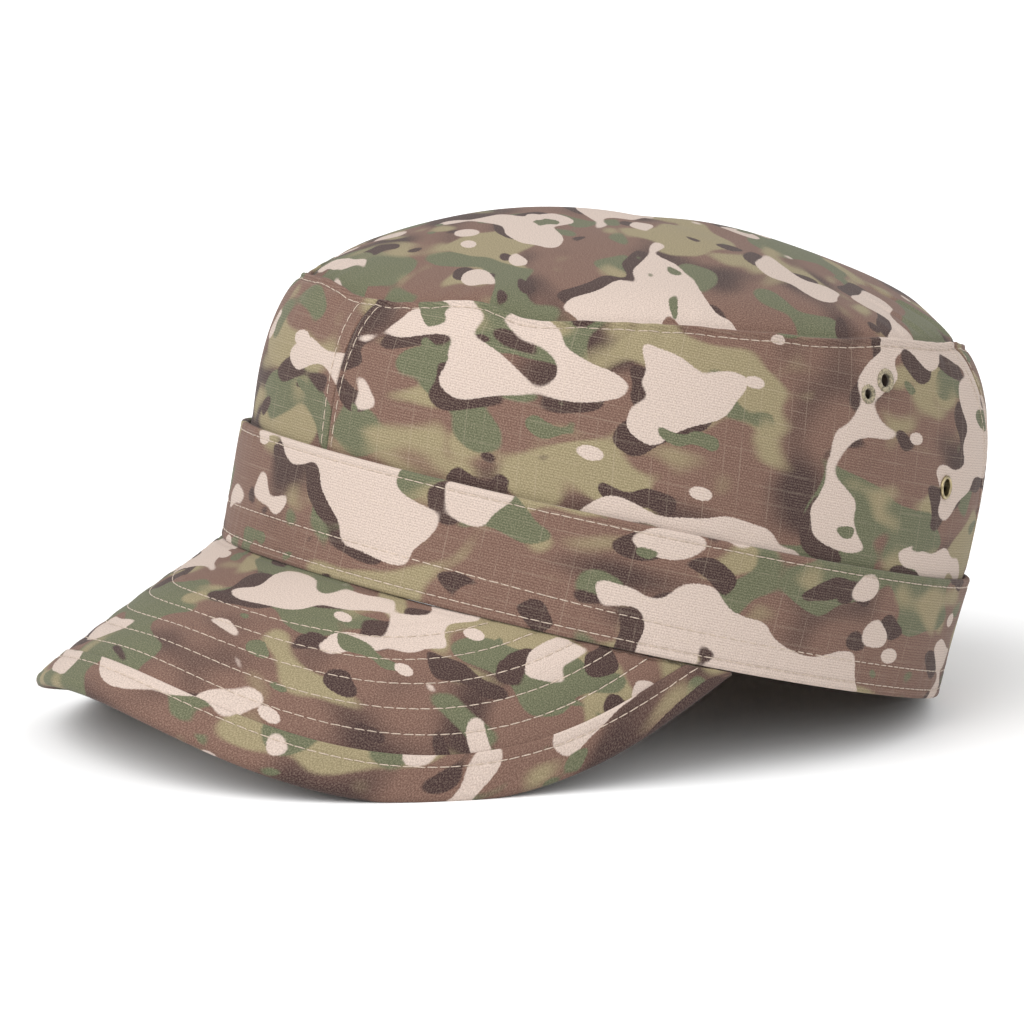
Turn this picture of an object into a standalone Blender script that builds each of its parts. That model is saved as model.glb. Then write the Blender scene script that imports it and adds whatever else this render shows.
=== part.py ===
"""A patrol cap: round domed top, three-panel wall, turned-up band and a stiff, arched peak.

Everything is modelled in the cap's own upright frame, in millimetres: the lower edge of the band is the plane
z = 0, the front looks along -Y and the wearer's left is +X. Directions round the cap are angles, 0 at the front
and 90 degrees at the wearer's left. A parent empty then lays the cap down as it rests by itself, on the two wings
of the peak and on the back of the band, and turns millimetres into metres.
"""

import math

import bmesh
import bpy
import numpy as np
from mathutils import Vector

MM = 0.001

# Walls and the gap that neighbouring pieces keep, in millimetres
CLOTH_WALL = 1.2
BAND_WALL = 1.5
GAP = 0.3

# Rings of the cap seen from above: half width, reach to the front, reach to the back and squareness
RING_COLUMNS = ("half_width", "front", "back", "power")
RING_TABLE = {
    "band_bottom": (87.2, 92.4, 99.0, 2.05),
    "band_top": (88.0, 93.0, 100.5, 2.05),
    "wall_middle": (80.3, 93.2, 96.4, 2.10),
    "top_seam": (75.5, 87.7, 81.8, 2.09),
}
RINGS = {name: dict(zip(RING_COLUMNS, row)) for name, row in RING_TABLE.items()}

# Heights above the lower edge of the band at the front, the sides and the back
HEIGHT_COLUMNS = ("front", "side", "back")
HEIGHT_TABLE = {
    "band_top": (29.7, 30.5, 31.2),
    "top_seam": (65.3, 81.1, 92.2),
}
HEIGHTS = {name: dict(zip(HEIGHT_COLUMNS, row)) for name, row in HEIGHT_TABLE.items()}
WALL_MIDDLE_SHARE = 0.664
FRONT_CORNER_RISE = 1.8
FRONT_CORNER_WIDTH_DEG = 14.0

# Crown top
DOME_RISE = 23.0
DOME_POWER = 2.1

# Seams of the wall: angles at the band's top edge and at the top seam
FRONT_SEAM_DEG = (3.3, 5.7)
BACK_SEAM_DEG = (143.0, 125.0)
SEAM_GAP_DEG = 0.1
FELL_WIDTH_DEG = 3.8
FELL_LIFT = 0.4
RIDGE_SHARE = 0.95
RIDGE_LIFT = 1.0
WALL_STARTS_AT = -0.93

# Peak: the rays of its surface leave the band at each angle and dip below the horizontal
PEAK_HALF_ANGLE_DEG = 79.7
PEAK_END_LENGTH = 4.5
PEAK_LENGTH = 63.4
PEAK_OUTLINE_POWER = 2.68
PEAK_TAPER_POWER = 1.1
PEAK_DIP_FRONT_DEG = 36.0
PEAK_DIP_GAIN_DEG = 60.0
PEAK_FLARE_SIDE = 0.32
PEAK_FLARE_FRONT = 0.36
PEAK_BELLY = 3.7
PEAK_WALL = 3.0

# Binding round the peak's edge, and the thinner rim of the peak that it covers
BINDING_WIDTH = 10.0
BINDING_MAX_SHARE = 0.6
BINDING_WALL = 1.0
BINDING_PROUD = 0.3
BINDING_STEP = 0.4
RIM_WALL = 1.4
NOSE = 1.6

# Eyelets: angle, height share of the wall, hole radius and flange radius
EYELET_COLUMNS = ("kind", "angle_deg", "share", "hole_radius", "flange_radius")
EYELET_TABLE = (
    ("stitched", 100.5, 0.77, 1.3, 2.9),
    ("stitched", 97.0, 0.66, 1.0, 2.4),
    ("metal", 117.0, 0.26, 2.0, 3.4),
)
EYELET_BARREL_WALL = 0.5
EYELET_FLANGE_THICK = 0.7
EYELET_BEVEL = 0.3
EYELET_SIDES = 12
CUTTER_DEPTH = 7.0

# How the cap lies: tipped back until the band's back and the peak's wings touch, and set on the origin
TILT_DEG = 13.68
LIFT = 22.8
SHIFT_Y = 18.57

# Steps for slopes taken by differences, in millimetres and radians
REACH_STEP = 0.01
ANGLE_STEP = 0.001

# Mesh density
ROUND_STEP_DEG = 5.5
BAND_COLUMNS = 68
PEAK_COLUMNS = 40
DOME_ROWS = 7
SHARP_DEG = 40.0
BAND_ROWS = (0.0, 0.1, 0.5, 0.92, 1.0)
WALL_ROWS = (WALL_STARTS_AT, -0.45, 0.0, 0.1, 0.25, 0.4, 0.55, 0.7, 0.83, 0.93, RIDGE_SHARE, 1.0)

# Finishes: base colour, roughness and metallic
FINISH_COLUMNS = ("colour", "roughness", "metallic")
FINISH_TABLE = {
    "crown_cloth": ((0.36, 0.30, 0.21), 0.9, 0.0),
    "side_cloth": ((0.27, 0.20, 0.15), 0.9, 0.0),
    "back_cloth": ((0.22, 0.24, 0.14), 0.9, 0.0),
    "band_cloth": ((0.42, 0.32, 0.25), 0.9, 0.0),
    "peak_cloth": ((0.30, 0.26, 0.17), 0.9, 0.0),
    "binding_cloth": ((0.20, 0.14, 0.11), 0.9, 0.0),
    "eyelet_thread": ((0.50, 0.46, 0.36), 0.8, 0.0),
    "eyelet_brass": ((0.55, 0.42, 0.20), 0.35, 1.0),
}


def clear_scene():
    for old in list(bpy.data.objects):
        bpy.data.objects.remove(old, do_unlink=True)


def finish(name):
    """A Principled material from one row of the finish table."""
    row = dict(zip(FINISH_COLUMNS, FINISH_TABLE[name]))
    material = bpy.data.materials.new(name)
    material.use_nodes = True
    shader = material.node_tree.nodes["Principled BSDF"]
    shader.inputs["Base Color"].default_value = (*row["colour"], 1.0)
    shader.inputs["Roughness"].default_value = row["roughness"]
    shader.inputs["Metallic"].default_value = row["metallic"]
    return material


def laid_down():
    """The empty that lays the cap down: tipped back about X, lifted onto the floor, millimetres to metres."""
    empty = bpy.data.objects.new("cap_laid_down", None)
    bpy.context.scene.collection.objects.link(empty)
    empty.rotation_euler = (-math.radians(TILT_DEG), 0.0, 0.0)
    empty.location = (0.0, SHIFT_Y * MM, LIFT * MM)
    empty.scale = (MM, MM, MM)
    return empty


def flatten_on_floor(mesh):
    """Moves what would sink through the floor straight up to it, so that the cloth rests on real flats."""
    tilt = math.radians(TILT_DEG)
    up = Vector((0.0, -math.sin(tilt), math.cos(tilt)))
    for vertex in mesh.verts:
        height = vertex.co.dot(up) + LIFT
        if height < 0.0:
            vertex.co -= up * height


def blend_by_angle(values, angle):
    """A value that turns from front to side to back with the squared cosine of the angle."""
    along = np.cos(angle)
    end = np.where(along > 0.0, values["front"], values["back"])
    return values["side"] + (end - values["side"]) * along * along


def ring(name, angle, inset=0.0):
    """X and Y of a ring: a superellipse with its own reach to the front and to the back, less an inset."""
    row = RINGS[name]
    across, along = np.sin(angle), np.cos(angle)
    reach = np.where(along > 0.0, row["front"], row["back"]) - inset
    x = (row["half_width"] - inset) * np.sign(across) * np.abs(across) ** (2.0 / row["power"])
    y = -reach * np.sign(along) * np.abs(along) ** (2.0 / row["power"])
    return x, y


def stacked(x, y, z):
    return np.stack(np.broadcast_arrays(x, y, z), axis=-1)


def seam_height(angle):
    """Height of the top seam, with the small lifted corner that it has at the front."""
    corner = FRONT_CORNER_RISE * np.exp(-(angle / math.radians(FRONT_CORNER_WIDTH_DEG)) ** 2)
    return blend_by_angle(HEIGHTS["top_seam"], angle) + corner


def band_surface(angle, share):
    """Outer face of the band: straight from its lower ring (share 0) to its upper ring (share 1)."""
    low = stacked(*ring("band_bottom", angle), 0.0)
    high = stacked(*ring("band_top", angle), blend_by_angle(HEIGHTS["band_top"], angle))
    return low + (high - low) * share[..., None]


def wall_surface(angle, share):
    """Outer face of the crown's wall: behind the band below share 0, then a parabola through three rings."""
    inset = BAND_WALL + GAP
    low_z = blend_by_angle(HEIGHTS["band_top"], angle)
    high_z = seam_height(angle)
    hidden = stacked(*ring("band_bottom", angle, inset), 0.0)
    low = stacked(*ring("band_top", angle, inset), low_z)
    middle = stacked(*ring("wall_middle", angle), low_z + (high_z - low_z) * WALL_MIDDLE_SHARE)
    high = stacked(*ring("top_seam", angle), high_z)
    t = share[..., None]
    visible = low * 2.0 * (t - 0.5) * (t - 1.0) + middle * 4.0 * t * (1.0 - t) + high * 2.0 * t * (t - 0.5)
    return np.where(t < 0.0, low + (hidden - low) * -t, visible)


def dome_surface(angle, rho):
    """Upper face of the crown top: the seam ring drawn in to a centre while it rises as 1 - rho ^ power."""
    x, y = ring("top_seam", angle, CLOTH_WALL + GAP)
    centre_y = (RINGS["top_seam"]["back"] - RINGS["top_seam"]["front"]) / 2.0
    centre_z = (HEIGHTS["top_seam"]["front"] + HEIGHTS["top_seam"]["back"]) / 2.0
    rim_z = blend_by_angle(HEIGHTS["top_seam"], angle)
    z = centre_z + (rim_z - centre_z) * rho + DOME_RISE * (1.0 - rho ** DOME_POWER)
    return stacked(x * rho, centre_y + (y - centre_y) * rho, z)


def unit(vectors):
    return vectors / np.linalg.norm(vectors, axis=-1, keepdims=True)


def peak_length(angle):
    """Length of each ray of the peak: full at the front, running out at the peak's two ends."""
    q = np.abs(angle) / math.radians(PEAK_HALF_ANGLE_DEG)
    return PEAK_LENGTH * (1.0 - q ** PEAK_OUTLINE_POWER) ** PEAK_TAPER_POWER


def peak_last_angle():
    """The angle at which a ray is still PEAK_END_LENGTH long: peak_length solved for the angle."""
    q = (1.0 - (PEAK_END_LENGTH / PEAK_LENGTH) ** (1.0 / PEAK_TAPER_POWER)) ** (1.0 / PEAK_OUTLINE_POWER)
    return q * math.radians(PEAK_HALF_ANGLE_DEG)


def peak_ray(angle):
    """Unit direction of each ray: outwards, and dipping more steeply towards the sides."""
    dip = np.radians(PEAK_DIP_FRONT_DEG + PEAK_DIP_GAIN_DEG * np.sin(angle) ** 2)
    forward = PEAK_FLARE_FRONT * np.cos(angle) + 1.0 - PEAK_FLARE_FRONT
    level = unit(stacked(PEAK_FLARE_SIDE * np.sin(angle), -forward, 0.0))
    ray = level * np.cos(dip)[..., None]
    ray[..., 2] = -np.sin(dip)
    return ray


def peak_surface(angle, reach):
    """Upper face of the peak at a distance along each ray, with a slight belly between root and edge."""
    length = peak_length(angle)
    share = reach / length
    belly = PEAK_BELLY * 4.0 * share * (1.0 - share) * length / PEAK_LENGTH
    point = stacked(*ring("band_bottom", angle), -GAP) + reach[..., None] * peak_ray(angle)
    point[..., 2] += np.where(share <= 1.0, belly, 0.0)
    return point


def peak_point(angle, reach, lift):
    """A point above (or, with a negative lift, below) the peak's upper face, along its normal."""
    along = peak_surface(angle, reach + REACH_STEP) - peak_surface(angle, reach - REACH_STEP)
    across = peak_surface(angle + ANGLE_STEP, reach) - peak_surface(angle - ANGLE_STEP, reach)
    return peak_surface(angle, reach) + unit(np.cross(along, across)) * lift[..., None]


def binding_reach(angle):
    """How far the binding covers each ray: its width measured square to the edge, less at the ends."""
    before, after = angle - ANGLE_STEP, angle + ANGLE_STEP
    edge = unit(peak_surface(after, peak_length(after)) - peak_surface(before, peak_length(before)))
    square = np.linalg.norm(np.cross(edge, peak_ray(angle)), axis=-1)
    return np.minimum(BINDING_WIDTH / square, BINDING_MAX_SHARE * peak_length(angle))


def grid_faces(mesh, grid, wrap):
    """Adds a grid of points (rows, columns, 3) as quads and returns its rows of vertices."""
    rows = [[mesh.verts.new(point) for point in row] for row in grid.tolist()]
    width = len(rows[0])
    last = width if wrap else width - 1
    for low, high in zip(rows, rows[1:]):
        for k in range(last):
            following = (k + 1) % width
            mesh.faces.new((low[k], low[following], high[following], high[k]))
    return rows


def wall_normals(grid, wrap):
    """Unit normals of a grid from its neighbours' differences, pointing away from the cap's axis."""
    if wrap:
        across = np.roll(grid, -1, axis=1) - np.roll(grid, 1, axis=1)
    else:
        across = np.gradient(grid, axis=1)
    return unit(np.cross(across, np.gradient(grid, axis=0)))


def shell(outer, inner, wrap):
    """A closed shell between two grids of the same size, with its rims bridged."""
    mesh = bmesh.new()
    outside = grid_faces(mesh, outer, wrap)
    inside = grid_faces(mesh, inner, wrap)
    width = len(outside[0])
    last = width if wrap else width - 1
    for row in (0, -1):
        for k in range(last):
            following = (k + 1) % width
            mesh.faces.new((outside[row][k], outside[row][following], inside[row][following], inside[row][k]))
    if not wrap:
        for column in (0, -1):
            for k in range(len(outside) - 1):
                mesh.faces.new((outside[k][column], outside[k + 1][column],
                                inside[k + 1][column], inside[k][column]))
    return mesh


def make_object(name, mesh, material, parent):
    """Turns a bmesh into a smooth-shaded object under the empty."""
    bmesh.ops.recalc_face_normals(mesh, faces=mesh.faces)
    data = bpy.data.meshes.new(name)
    mesh.to_mesh(data)
    mesh.free()
    data.shade_smooth()
    data.set_sharp_from_angle(angle=math.radians(SHARP_DEG))
    data.materials.append(finish(material))
    made = bpy.data.objects.new(name, data)
    bpy.context.scene.collection.objects.link(made)
    made.parent = parent
    return made


def make_crown_top(parent):
    angle = np.radians(np.linspace(0.0, 360.0, BAND_COLUMNS, endpoint=False))
    rho = np.linspace(1.0, 0.0, DOME_ROWS, endpoint=False)
    upper = dome_surface(angle[None, :], rho[:, None])
    lower = upper - wall_normals(upper, wrap=True) * CLOTH_WALL
    mesh = bmesh.new()
    rings = [grid_faces(mesh, grid, wrap=True) for grid in (upper, lower)]
    pole = dome_surface(np.zeros(1), np.zeros(1))[0]
    tops = [mesh.verts.new(pole - np.array((0.0, 0.0, drop))) for drop in (0.0, CLOTH_WALL)]
    for rows, top in zip(rings, tops):
        for k in range(BAND_COLUMNS):
            mesh.faces.new((rows[-1][k], rows[-1][(k + 1) % BAND_COLUMNS], top))
    for k in range(BAND_COLUMNS):
        following = (k + 1) % BAND_COLUMNS
        mesh.faces.new((rings[0][0][k], rings[0][0][following], rings[1][0][following], rings[1][0][k]))
    return make_object("crown_top", mesh, "crown_cloth", parent)


def panel_columns(first, last):
    """Angles across a panel: the two felled strips at its edges and even steps between them."""
    inner_first, inner_last = first + FELL_WIDTH_DEG, last - FELL_WIDTH_DEG
    steps = int(round((inner_last[0] - inner_first[0]) / ROUND_STEP_DEG))
    shares = np.linspace(0.0, 1.0, steps + 1)
    middle = inner_first[:, None] + (inner_last - inner_first)[:, None] * shares[None, :]
    return np.concatenate((first[:, None], middle, last[:, None]), axis=1)


def make_panel(name, first_seam, last_seam, material, parent):
    """One panel of the wall between two slanting seams, raised along the seams and at its top edge."""
    share = np.array(WALL_ROWS)
    above = np.clip(share, 0.0, 1.0)
    first = first_seam[0] + (first_seam[1] - first_seam[0]) * above + SEAM_GAP_DEG
    last = last_seam[0] + (last_seam[1] - last_seam[0]) * above - SEAM_GAP_DEG
    columns = panel_columns(first, last)
    angle = np.radians(columns)
    share = np.broadcast_to(share[:, None], angle.shape)
    base = wall_surface(angle, share)
    normals = wall_normals(base, wrap=False)
    on_fell = np.zeros(angle.shape)
    on_fell[:, 0] = 1.0
    on_fell[:, -1] = 1.0
    lift = np.where(share > 0.0, FELL_LIFT * on_fell, 0.0)
    lift = np.maximum(lift, np.where(share > RIDGE_SHARE, RIDGE_LIFT, 0.0))
    mesh = shell(base + normals * lift[..., None], base - normals * CLOTH_WALL, wrap=False)
    return make_object(name, mesh, material, parent)


def make_band(parent):
    angle = np.radians(np.linspace(0.0, 360.0, BAND_COLUMNS, endpoint=False))
    share = np.broadcast_to(np.array(BAND_ROWS)[:, None], (len(BAND_ROWS), BAND_COLUMNS))
    outer = band_surface(angle[None, :], share)
    x, y = ring("band_bottom", angle, BAND_WALL)
    high_x, high_y = ring("band_top", angle, BAND_WALL)
    inner = stacked(x + (high_x - x) * share, y + (high_y - y) * share, outer[..., 2])
    mesh = shell(outer, inner, wrap=True)
    flatten_on_floor(mesh)
    return make_object("band", mesh, "band_cloth", parent)


def make_peak(parent):
    """The stiff peak: full thickness inside the binding, a thinner rim where the binding covers it."""
    angle = np.linspace(-peak_last_angle(), peak_last_angle(), PEAK_COLUMNS)
    length, covered = peak_length(angle), binding_reach(angle)
    open_reach = length - covered - GAP
    rows = [open_reach * share for share in (0.0, 0.2, 0.4, 0.6, 0.8)]
    rows += [open_reach - BINDING_STEP, open_reach]
    rows += [length - covered * 0.5 - NOSE * 0.5, length - BINDING_WALL - GAP]
    on_rim = np.array((0.0,) * (len(rows) - 3) + (1.0,) * 3)
    reach = np.stack(rows)
    spread = np.broadcast_to(angle[None, :], reach.shape)
    rim_drop = BINDING_WALL + GAP - BINDING_PROUD
    top_lift = np.broadcast_to((-rim_drop * on_rim)[:, None], reach.shape)
    wall = np.broadcast_to((PEAK_WALL + (RIM_WALL - PEAK_WALL) * on_rim)[:, None], reach.shape)
    mesh = shell(peak_point(spread, reach, top_lift), peak_point(spread, reach, top_lift - wall), wrap=False)
    flatten_on_floor(mesh)
    return make_object("peak", mesh, "peak_cloth", parent)


def make_binding(parent):
    """The binding: a U section, wrapped round the rim of the peak and carried along its edge."""
    angle = np.linspace(-peak_last_angle(), peak_last_angle(), PEAK_COLUMNS)
    length, covered = peak_length(angle), binding_reach(angle)
    top, inner_top = BINDING_PROUD, BINDING_PROUD - BINDING_WALL
    inner_low = inner_top - GAP - RIM_WALL - GAP
    low = inner_low - BINDING_WALL
    middle = (top + low) / 2.0
    half_way = (covered + NOSE) / 2.0
    section = (
        (covered, top), (half_way, top), (NOSE, top), (NOSE * 0.3, (top + middle) / 2.0), (0.0, middle),
        (NOSE * 0.3, (low + middle) / 2.0), (NOSE, low), (half_way, low), (covered, low),
        (covered, inner_low), (half_way, inner_low), (BINDING_WALL, inner_low),
        (BINDING_WALL, inner_top), (half_way, inner_top), (covered, inner_top),
    )
    reach = np.stack([length - inwards for inwards, _ in section])
    lift = np.stack([np.full(PEAK_COLUMNS, height) for _, height in section])
    grid = peak_point(np.broadcast_to(angle[None, :], reach.shape), reach, lift)
    mesh = bmesh.new()
    rows = grid_faces(mesh, np.concatenate((grid, grid[:1])), wrap=False)
    for column in (0, -1):
        mesh.faces.new([row[column] for row in rows[:-1]])
    bmesh.ops.remove_doubles(mesh, verts=mesh.verts, dist=0.001)
    bmesh.ops.triangulate(mesh, faces=[face for face in mesh.faces if len(face.verts) > 4])
    flatten_on_floor(mesh)
    return make_object("peak_binding", mesh, "binding_cloth", parent)


def eyelet_frame(angle_deg, share):
    """Centre of an eyelet on the wall's outer face, and the wall's outward normal there."""
    step = 0.01
    angle = np.radians(np.array((angle_deg, angle_deg - step, angle_deg + step, angle_deg, angle_deg)))
    shares = np.array((share, share, share, share - step, share + step))
    centre, before, after, below, above = wall_surface(angle, shares)
    return Vector(centre), Vector(np.cross(after - before, above - below)).normalized()


def make_eyelet(name, row, side, parent):
    """A turned eyelet: a flange on the cloth's face and a barrel through the hole, spun about its axis."""
    centre, normal = eyelet_frame(side * row["angle_deg"], row["share"])
    hole, flange = row["hole_radius"], row["flange_radius"]
    barrel = hole + EYELET_BARREL_WALL
    top = GAP + EYELET_FLANGE_THICK
    profile = ((hole, -CLOTH_WALL), (barrel, -CLOTH_WALL), (barrel, GAP), (flange, GAP),
               (flange - EYELET_BEVEL, top), (hole + EYELET_BEVEL, top), (hole, GAP))
    mesh = bmesh.new()
    points = [mesh.verts.new((radius, 0.0, height)) for radius, height in profile]
    edges = [mesh.edges.new((a, b)) for a, b in zip(points, points[1:] + points[:1])]
    bmesh.ops.spin(mesh, geom=points + edges, cent=(0, 0, 0), axis=(0, 0, 1), angle=math.tau,
                   steps=EYELET_SIDES, use_merge=True)
    bmesh.ops.remove_doubles(mesh, verts=mesh.verts, dist=0.001)
    made = make_object(name, mesh, "eyelet_brass" if row["kind"] == "metal" else "eyelet_thread", parent)
    made.location = centre
    made.rotation_euler = normal.to_track_quat("Z", "Y").to_euler()
    return made


def cut_hole(panel, row, side, parent):
    """Cuts the cloth under an eyelet with a cylinder that clears the eyelet's barrel."""
    centre, normal = eyelet_frame(side * row["angle_deg"], row["share"])
    radius = row["hole_radius"] + EYELET_BARREL_WALL + GAP
    mesh = bmesh.new()
    bmesh.ops.create_cone(mesh, cap_ends=True, segments=EYELET_SIDES, radius1=radius, radius2=radius,
                          depth=CUTTER_DEPTH)
    cutter = make_object(f"hole_cutter_{panel.name}_{row['angle_deg']:.0f}", mesh, "eyelet_thread", parent)
    cutter.location = centre
    cutter.rotation_euler = normal.to_track_quat("Z", "Y").to_euler()
    cutter.hide_render = True
    cutter.display_type = "WIRE"
    cut = panel.modifiers.new("eyelet hole", "BOOLEAN")
    cut.operation = "DIFFERENCE"
    cut.object = cutter


def make_cap():
    clear_scene()
    parent = laid_down()
    make_crown_top(parent)
    front = np.array(FRONT_SEAM_DEG)
    back = np.array(BACK_SEAM_DEG)
    panels = {
        1: make_panel("left_side_panel", front, back, "side_cloth", parent),
        -1: make_panel("right_side_panel", -back, front, "side_cloth", parent),
    }
    make_panel("back_panel", back, 360.0 - back, "back_cloth", parent)
    make_band(parent)
    make_peak(parent)
    make_binding(parent)
    counts = {"stitched": 0, "metal": 0}
    for side, panel in panels.items():
        for values in EYELET_TABLE:
            row = dict(zip(EYELET_COLUMNS, values))
            counts[row["kind"]] += 1
            make_eyelet(f"{row['kind']}_eyelet_{counts[row['kind']]}", row, side, parent)
            cut_hole(panel, row, side, parent)


make_cap()
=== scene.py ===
# %% [markdown]
# # A patrol cap of printed ripstop cotton
# The cap is sewn from flat cloth: an oval top, three wall panels, a turned-up band and a stiff quilted peak with a
# turned hem. Each of these is worked out below as a surface of two parameters in millimetres, in the cap's own
# upright frame, and is then laid down on the table as the real cap lies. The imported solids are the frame: each new
# piece stands where its solid stands.

import math

import bpy
import numpy as np
from mathutils import Matrix


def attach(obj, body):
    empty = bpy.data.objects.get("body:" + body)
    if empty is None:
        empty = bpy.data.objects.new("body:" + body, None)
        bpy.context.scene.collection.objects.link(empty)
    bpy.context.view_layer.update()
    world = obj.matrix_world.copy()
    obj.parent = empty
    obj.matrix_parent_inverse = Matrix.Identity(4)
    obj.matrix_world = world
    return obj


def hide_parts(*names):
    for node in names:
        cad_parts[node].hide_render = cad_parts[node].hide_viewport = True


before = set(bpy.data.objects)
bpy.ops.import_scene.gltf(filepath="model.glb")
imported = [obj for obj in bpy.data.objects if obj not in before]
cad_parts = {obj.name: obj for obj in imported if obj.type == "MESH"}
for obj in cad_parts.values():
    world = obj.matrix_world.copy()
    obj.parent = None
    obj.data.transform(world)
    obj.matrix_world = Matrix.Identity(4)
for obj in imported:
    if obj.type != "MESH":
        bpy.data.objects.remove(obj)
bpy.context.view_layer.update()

# %% [markdown]
# ## The camera
# The cap is seen from its front left and a little above, through a long lens, so it shows almost no perspective.
# A camera could be aimed with a constraint, but a matrix built from its own three axes also holds the slight roll
# of the picture. It comes first.

# %% Camera
CAMERA_AZIMUTH_DEG = 52.887
CAMERA_ELEVATION_DEG = 11.328
CAMERA_ROLL_DEG = 1.927
CAMERA_DISTANCE = 1.46996
CAMERA_AIM = (-0.0098, 0.0056, 0.0485)
CAMERA_LENS_MM = 204.85
CAMERA_SENSOR_MM = 36.0


def camera_matrix():
    """Columns right, up and back of a camera that looks from azimuth and elevation, rolled about its own axis."""
    azimuth, elevation, roll = np.radians((CAMERA_AZIMUTH_DEG, CAMERA_ELEVATION_DEG, CAMERA_ROLL_DEG))
    back = np.array((math.sin(azimuth) * math.cos(elevation), -math.cos(azimuth) * math.cos(elevation),
                     math.sin(elevation)))
    right = np.array((math.cos(azimuth), math.sin(azimuth), 0.0))
    up = np.cross(back, right)
    right, up = right * math.cos(roll) + up * math.sin(roll), up * math.cos(roll) - right * math.sin(roll)
    matrix = np.eye(4)
    matrix[:3, :3] = np.stack((right, up, back), axis=1)
    matrix[:3, 3] = np.array(CAMERA_AIM) + back * CAMERA_DISTANCE
    return Matrix(matrix.tolist())


lens = bpy.data.cameras.new("camera")
lens.lens = CAMERA_LENS_MM
lens.sensor_width = CAMERA_SENSOR_MM
camera = bpy.data.objects.new("camera", lens)
bpy.context.scene.collection.objects.link(camera)
camera.matrix_world = camera_matrix()
bpy.context.scene.camera = camera
print("camera stands at", [round(x, 3) for x in camera.matrix_world.translation])

# %% [markdown]
# ## The shape of the cap
# A cap has no straight lines to measure from, so its shape is held by a few rings seen from above: the two edges of
# the band, the fullest part of the wall and the seam of the top. Each ring is a superellipse with its own reach to
# the front and to the back. Angles run round the cap from 0 at the front to 90 degrees at the wearer's left.

# %% Sizes in millimetres
MM = 0.001
BAND_WALL = 1.5
CLOTH_WALL = 1.2
GAP = 0.3
RING_COLUMNS = ("half_width", "front", "back", "power")
RING_TABLE = {
    "band_bottom": (87.2, 92.4, 99.0, 2.05),
    "band_top": (88.0, 93.0, 100.5, 2.05),
    "wall_middle": (80.3, 93.2, 96.4, 2.10),
    "top_seam": (75.5, 87.7, 81.8, 2.09),
}
RINGS = {name: dict(zip(RING_COLUMNS, row)) for name, row in RING_TABLE.items()}
HEIGHT_COLUMNS = ("front", "side", "back")
HEIGHT_TABLE = {
    "band_top": (29.7, 30.5, 31.2),
    "top_seam": (65.3, 81.1, 92.2),
}
HEIGHTS = {name: dict(zip(HEIGHT_COLUMNS, row)) for name, row in HEIGHT_TABLE.items()}
WALL_MIDDLE_SHARE = 0.664
SEAM_RISE_TABLE = (
    (-180, 0.0), (-160, -0.6), (-150, 0.0), (-140, 1.0), (-130, 2.6), (-120, 3.6), (-110, 4.2), (-100, 4.2),
    (-90, 2.3), (-80, 1.2), (-70, 0.2), (-60, -0.9), (-55, -1.8), (-50, -2.7), (-45, -3.3), (-40, -3.2),
    (-35, -1.9), (-30, 0.0), (-25, 1.5), (-20, 2.1), (-15, 3.1), (-10, 3.9), (-5, 3.4), (0, 2.1), (5, 2.2),
    (10, 2.8), (15, 3.4), (20, 4.2), (25, 4.8), (30, 3.9), (35, 0.9), (40, 0.3), (45, 1.0), (50, 0.8),
    (60, 0.7), (65, 0.9), (70, 0.5), (75, 0.6), (80, 1.2), (85, 1.2), (90, 2.3), (95, 3.6), (100, 4.7),
    (105, 4.7), (110, 4.5), (120, 3.9), (125, 3.6), (130, 2.9), (135, 1.6), (140, 0.4), (145, -0.9),
    (150, -1.9), (155, -1.9), (160, -1.2), (170, -0.2),
)
SEAM_SOFTNESS_DEG = 2.5
DOME_RISE = 23.0
DOME_POWER = 2.1
TILT_DEG = 13.68
LIFT = 22.8
SHIFT_Y = 18.57
print("band girth is close to", round(math.pi * (88.0 + 96.0)), "mm")


# %% Rings and heights
def stacked(x, y, z):
    """Three coordinate arrays as one array of points."""
    return np.stack(np.broadcast_arrays(x, y, z), axis=-1)


def unit(vectors):
    """Each vector divided by its own length."""
    return vectors / np.linalg.norm(vectors, axis=-1, keepdims=True)


def smooth(x):
    """Rises from 0 to 1 as 3x^2 - 2x^3 while x goes from 0 to 1, and is level outside."""
    x = np.clip(x, 0.0, 1.0)
    return x * x * (3.0 - 2.0 * x)


def bell(distance, width):
    """1 at no distance, falling as exp(-(distance / width)^2)."""
    return np.exp(-(distance / width) ** 2)


def blend_by_angle(values, angle):
    """A value that turns from front to side to back with the squared cosine of the angle."""
    along = np.cos(angle)
    end = np.where(along > 0.0, values["front"], values["back"])
    return values["side"] + (end - values["side"]) * along * along


def ring(name, angle, inset=0.0):
    """X and Y of a ring: |sin| and |cos| of the angle to the power 2/n, times half width and reach less an inset."""
    row = RINGS[name]
    across, along = np.sin(angle), np.cos(angle)
    reach = np.where(along > 0.0, row["front"], row["back"]) - inset
    x = (row["half_width"] - inset) * np.sign(across) * np.abs(across) ** (2.0 / row["power"])
    y = -reach * np.sign(along) * np.abs(along) ** (2.0 / row["power"])
    return x, y


def wrapped(angle):
    """An angle brought to between half a turn back and half a turn on."""
    return (angle + math.pi) % (2.0 * math.pi) - math.pi


def softened_rises():
    """The table of rises at every degree, each a mean of its neighbours weighted by a bell of their distance."""
    degrees = np.arange(-180.0, 180.0)
    at, rise = np.array(SEAM_RISE_TABLE).T
    apart = np.degrees(wrapped(np.radians(degrees[:, None] - degrees)))
    weight = bell(apart, SEAM_SOFTNESS_DEG)
    return degrees, weight @ np.interp(degrees, at, rise, period=360.0) / weight.sum(axis=1)


SEAM_RISES = softened_rises()


def seam_height(angle):
    """Height of the top seam: the blend of three heights and the rise read off at each angle."""
    return blend_by_angle(HEIGHTS["top_seam"], angle) + np.interp(np.degrees(angle), *SEAM_RISES, period=360.0)


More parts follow.
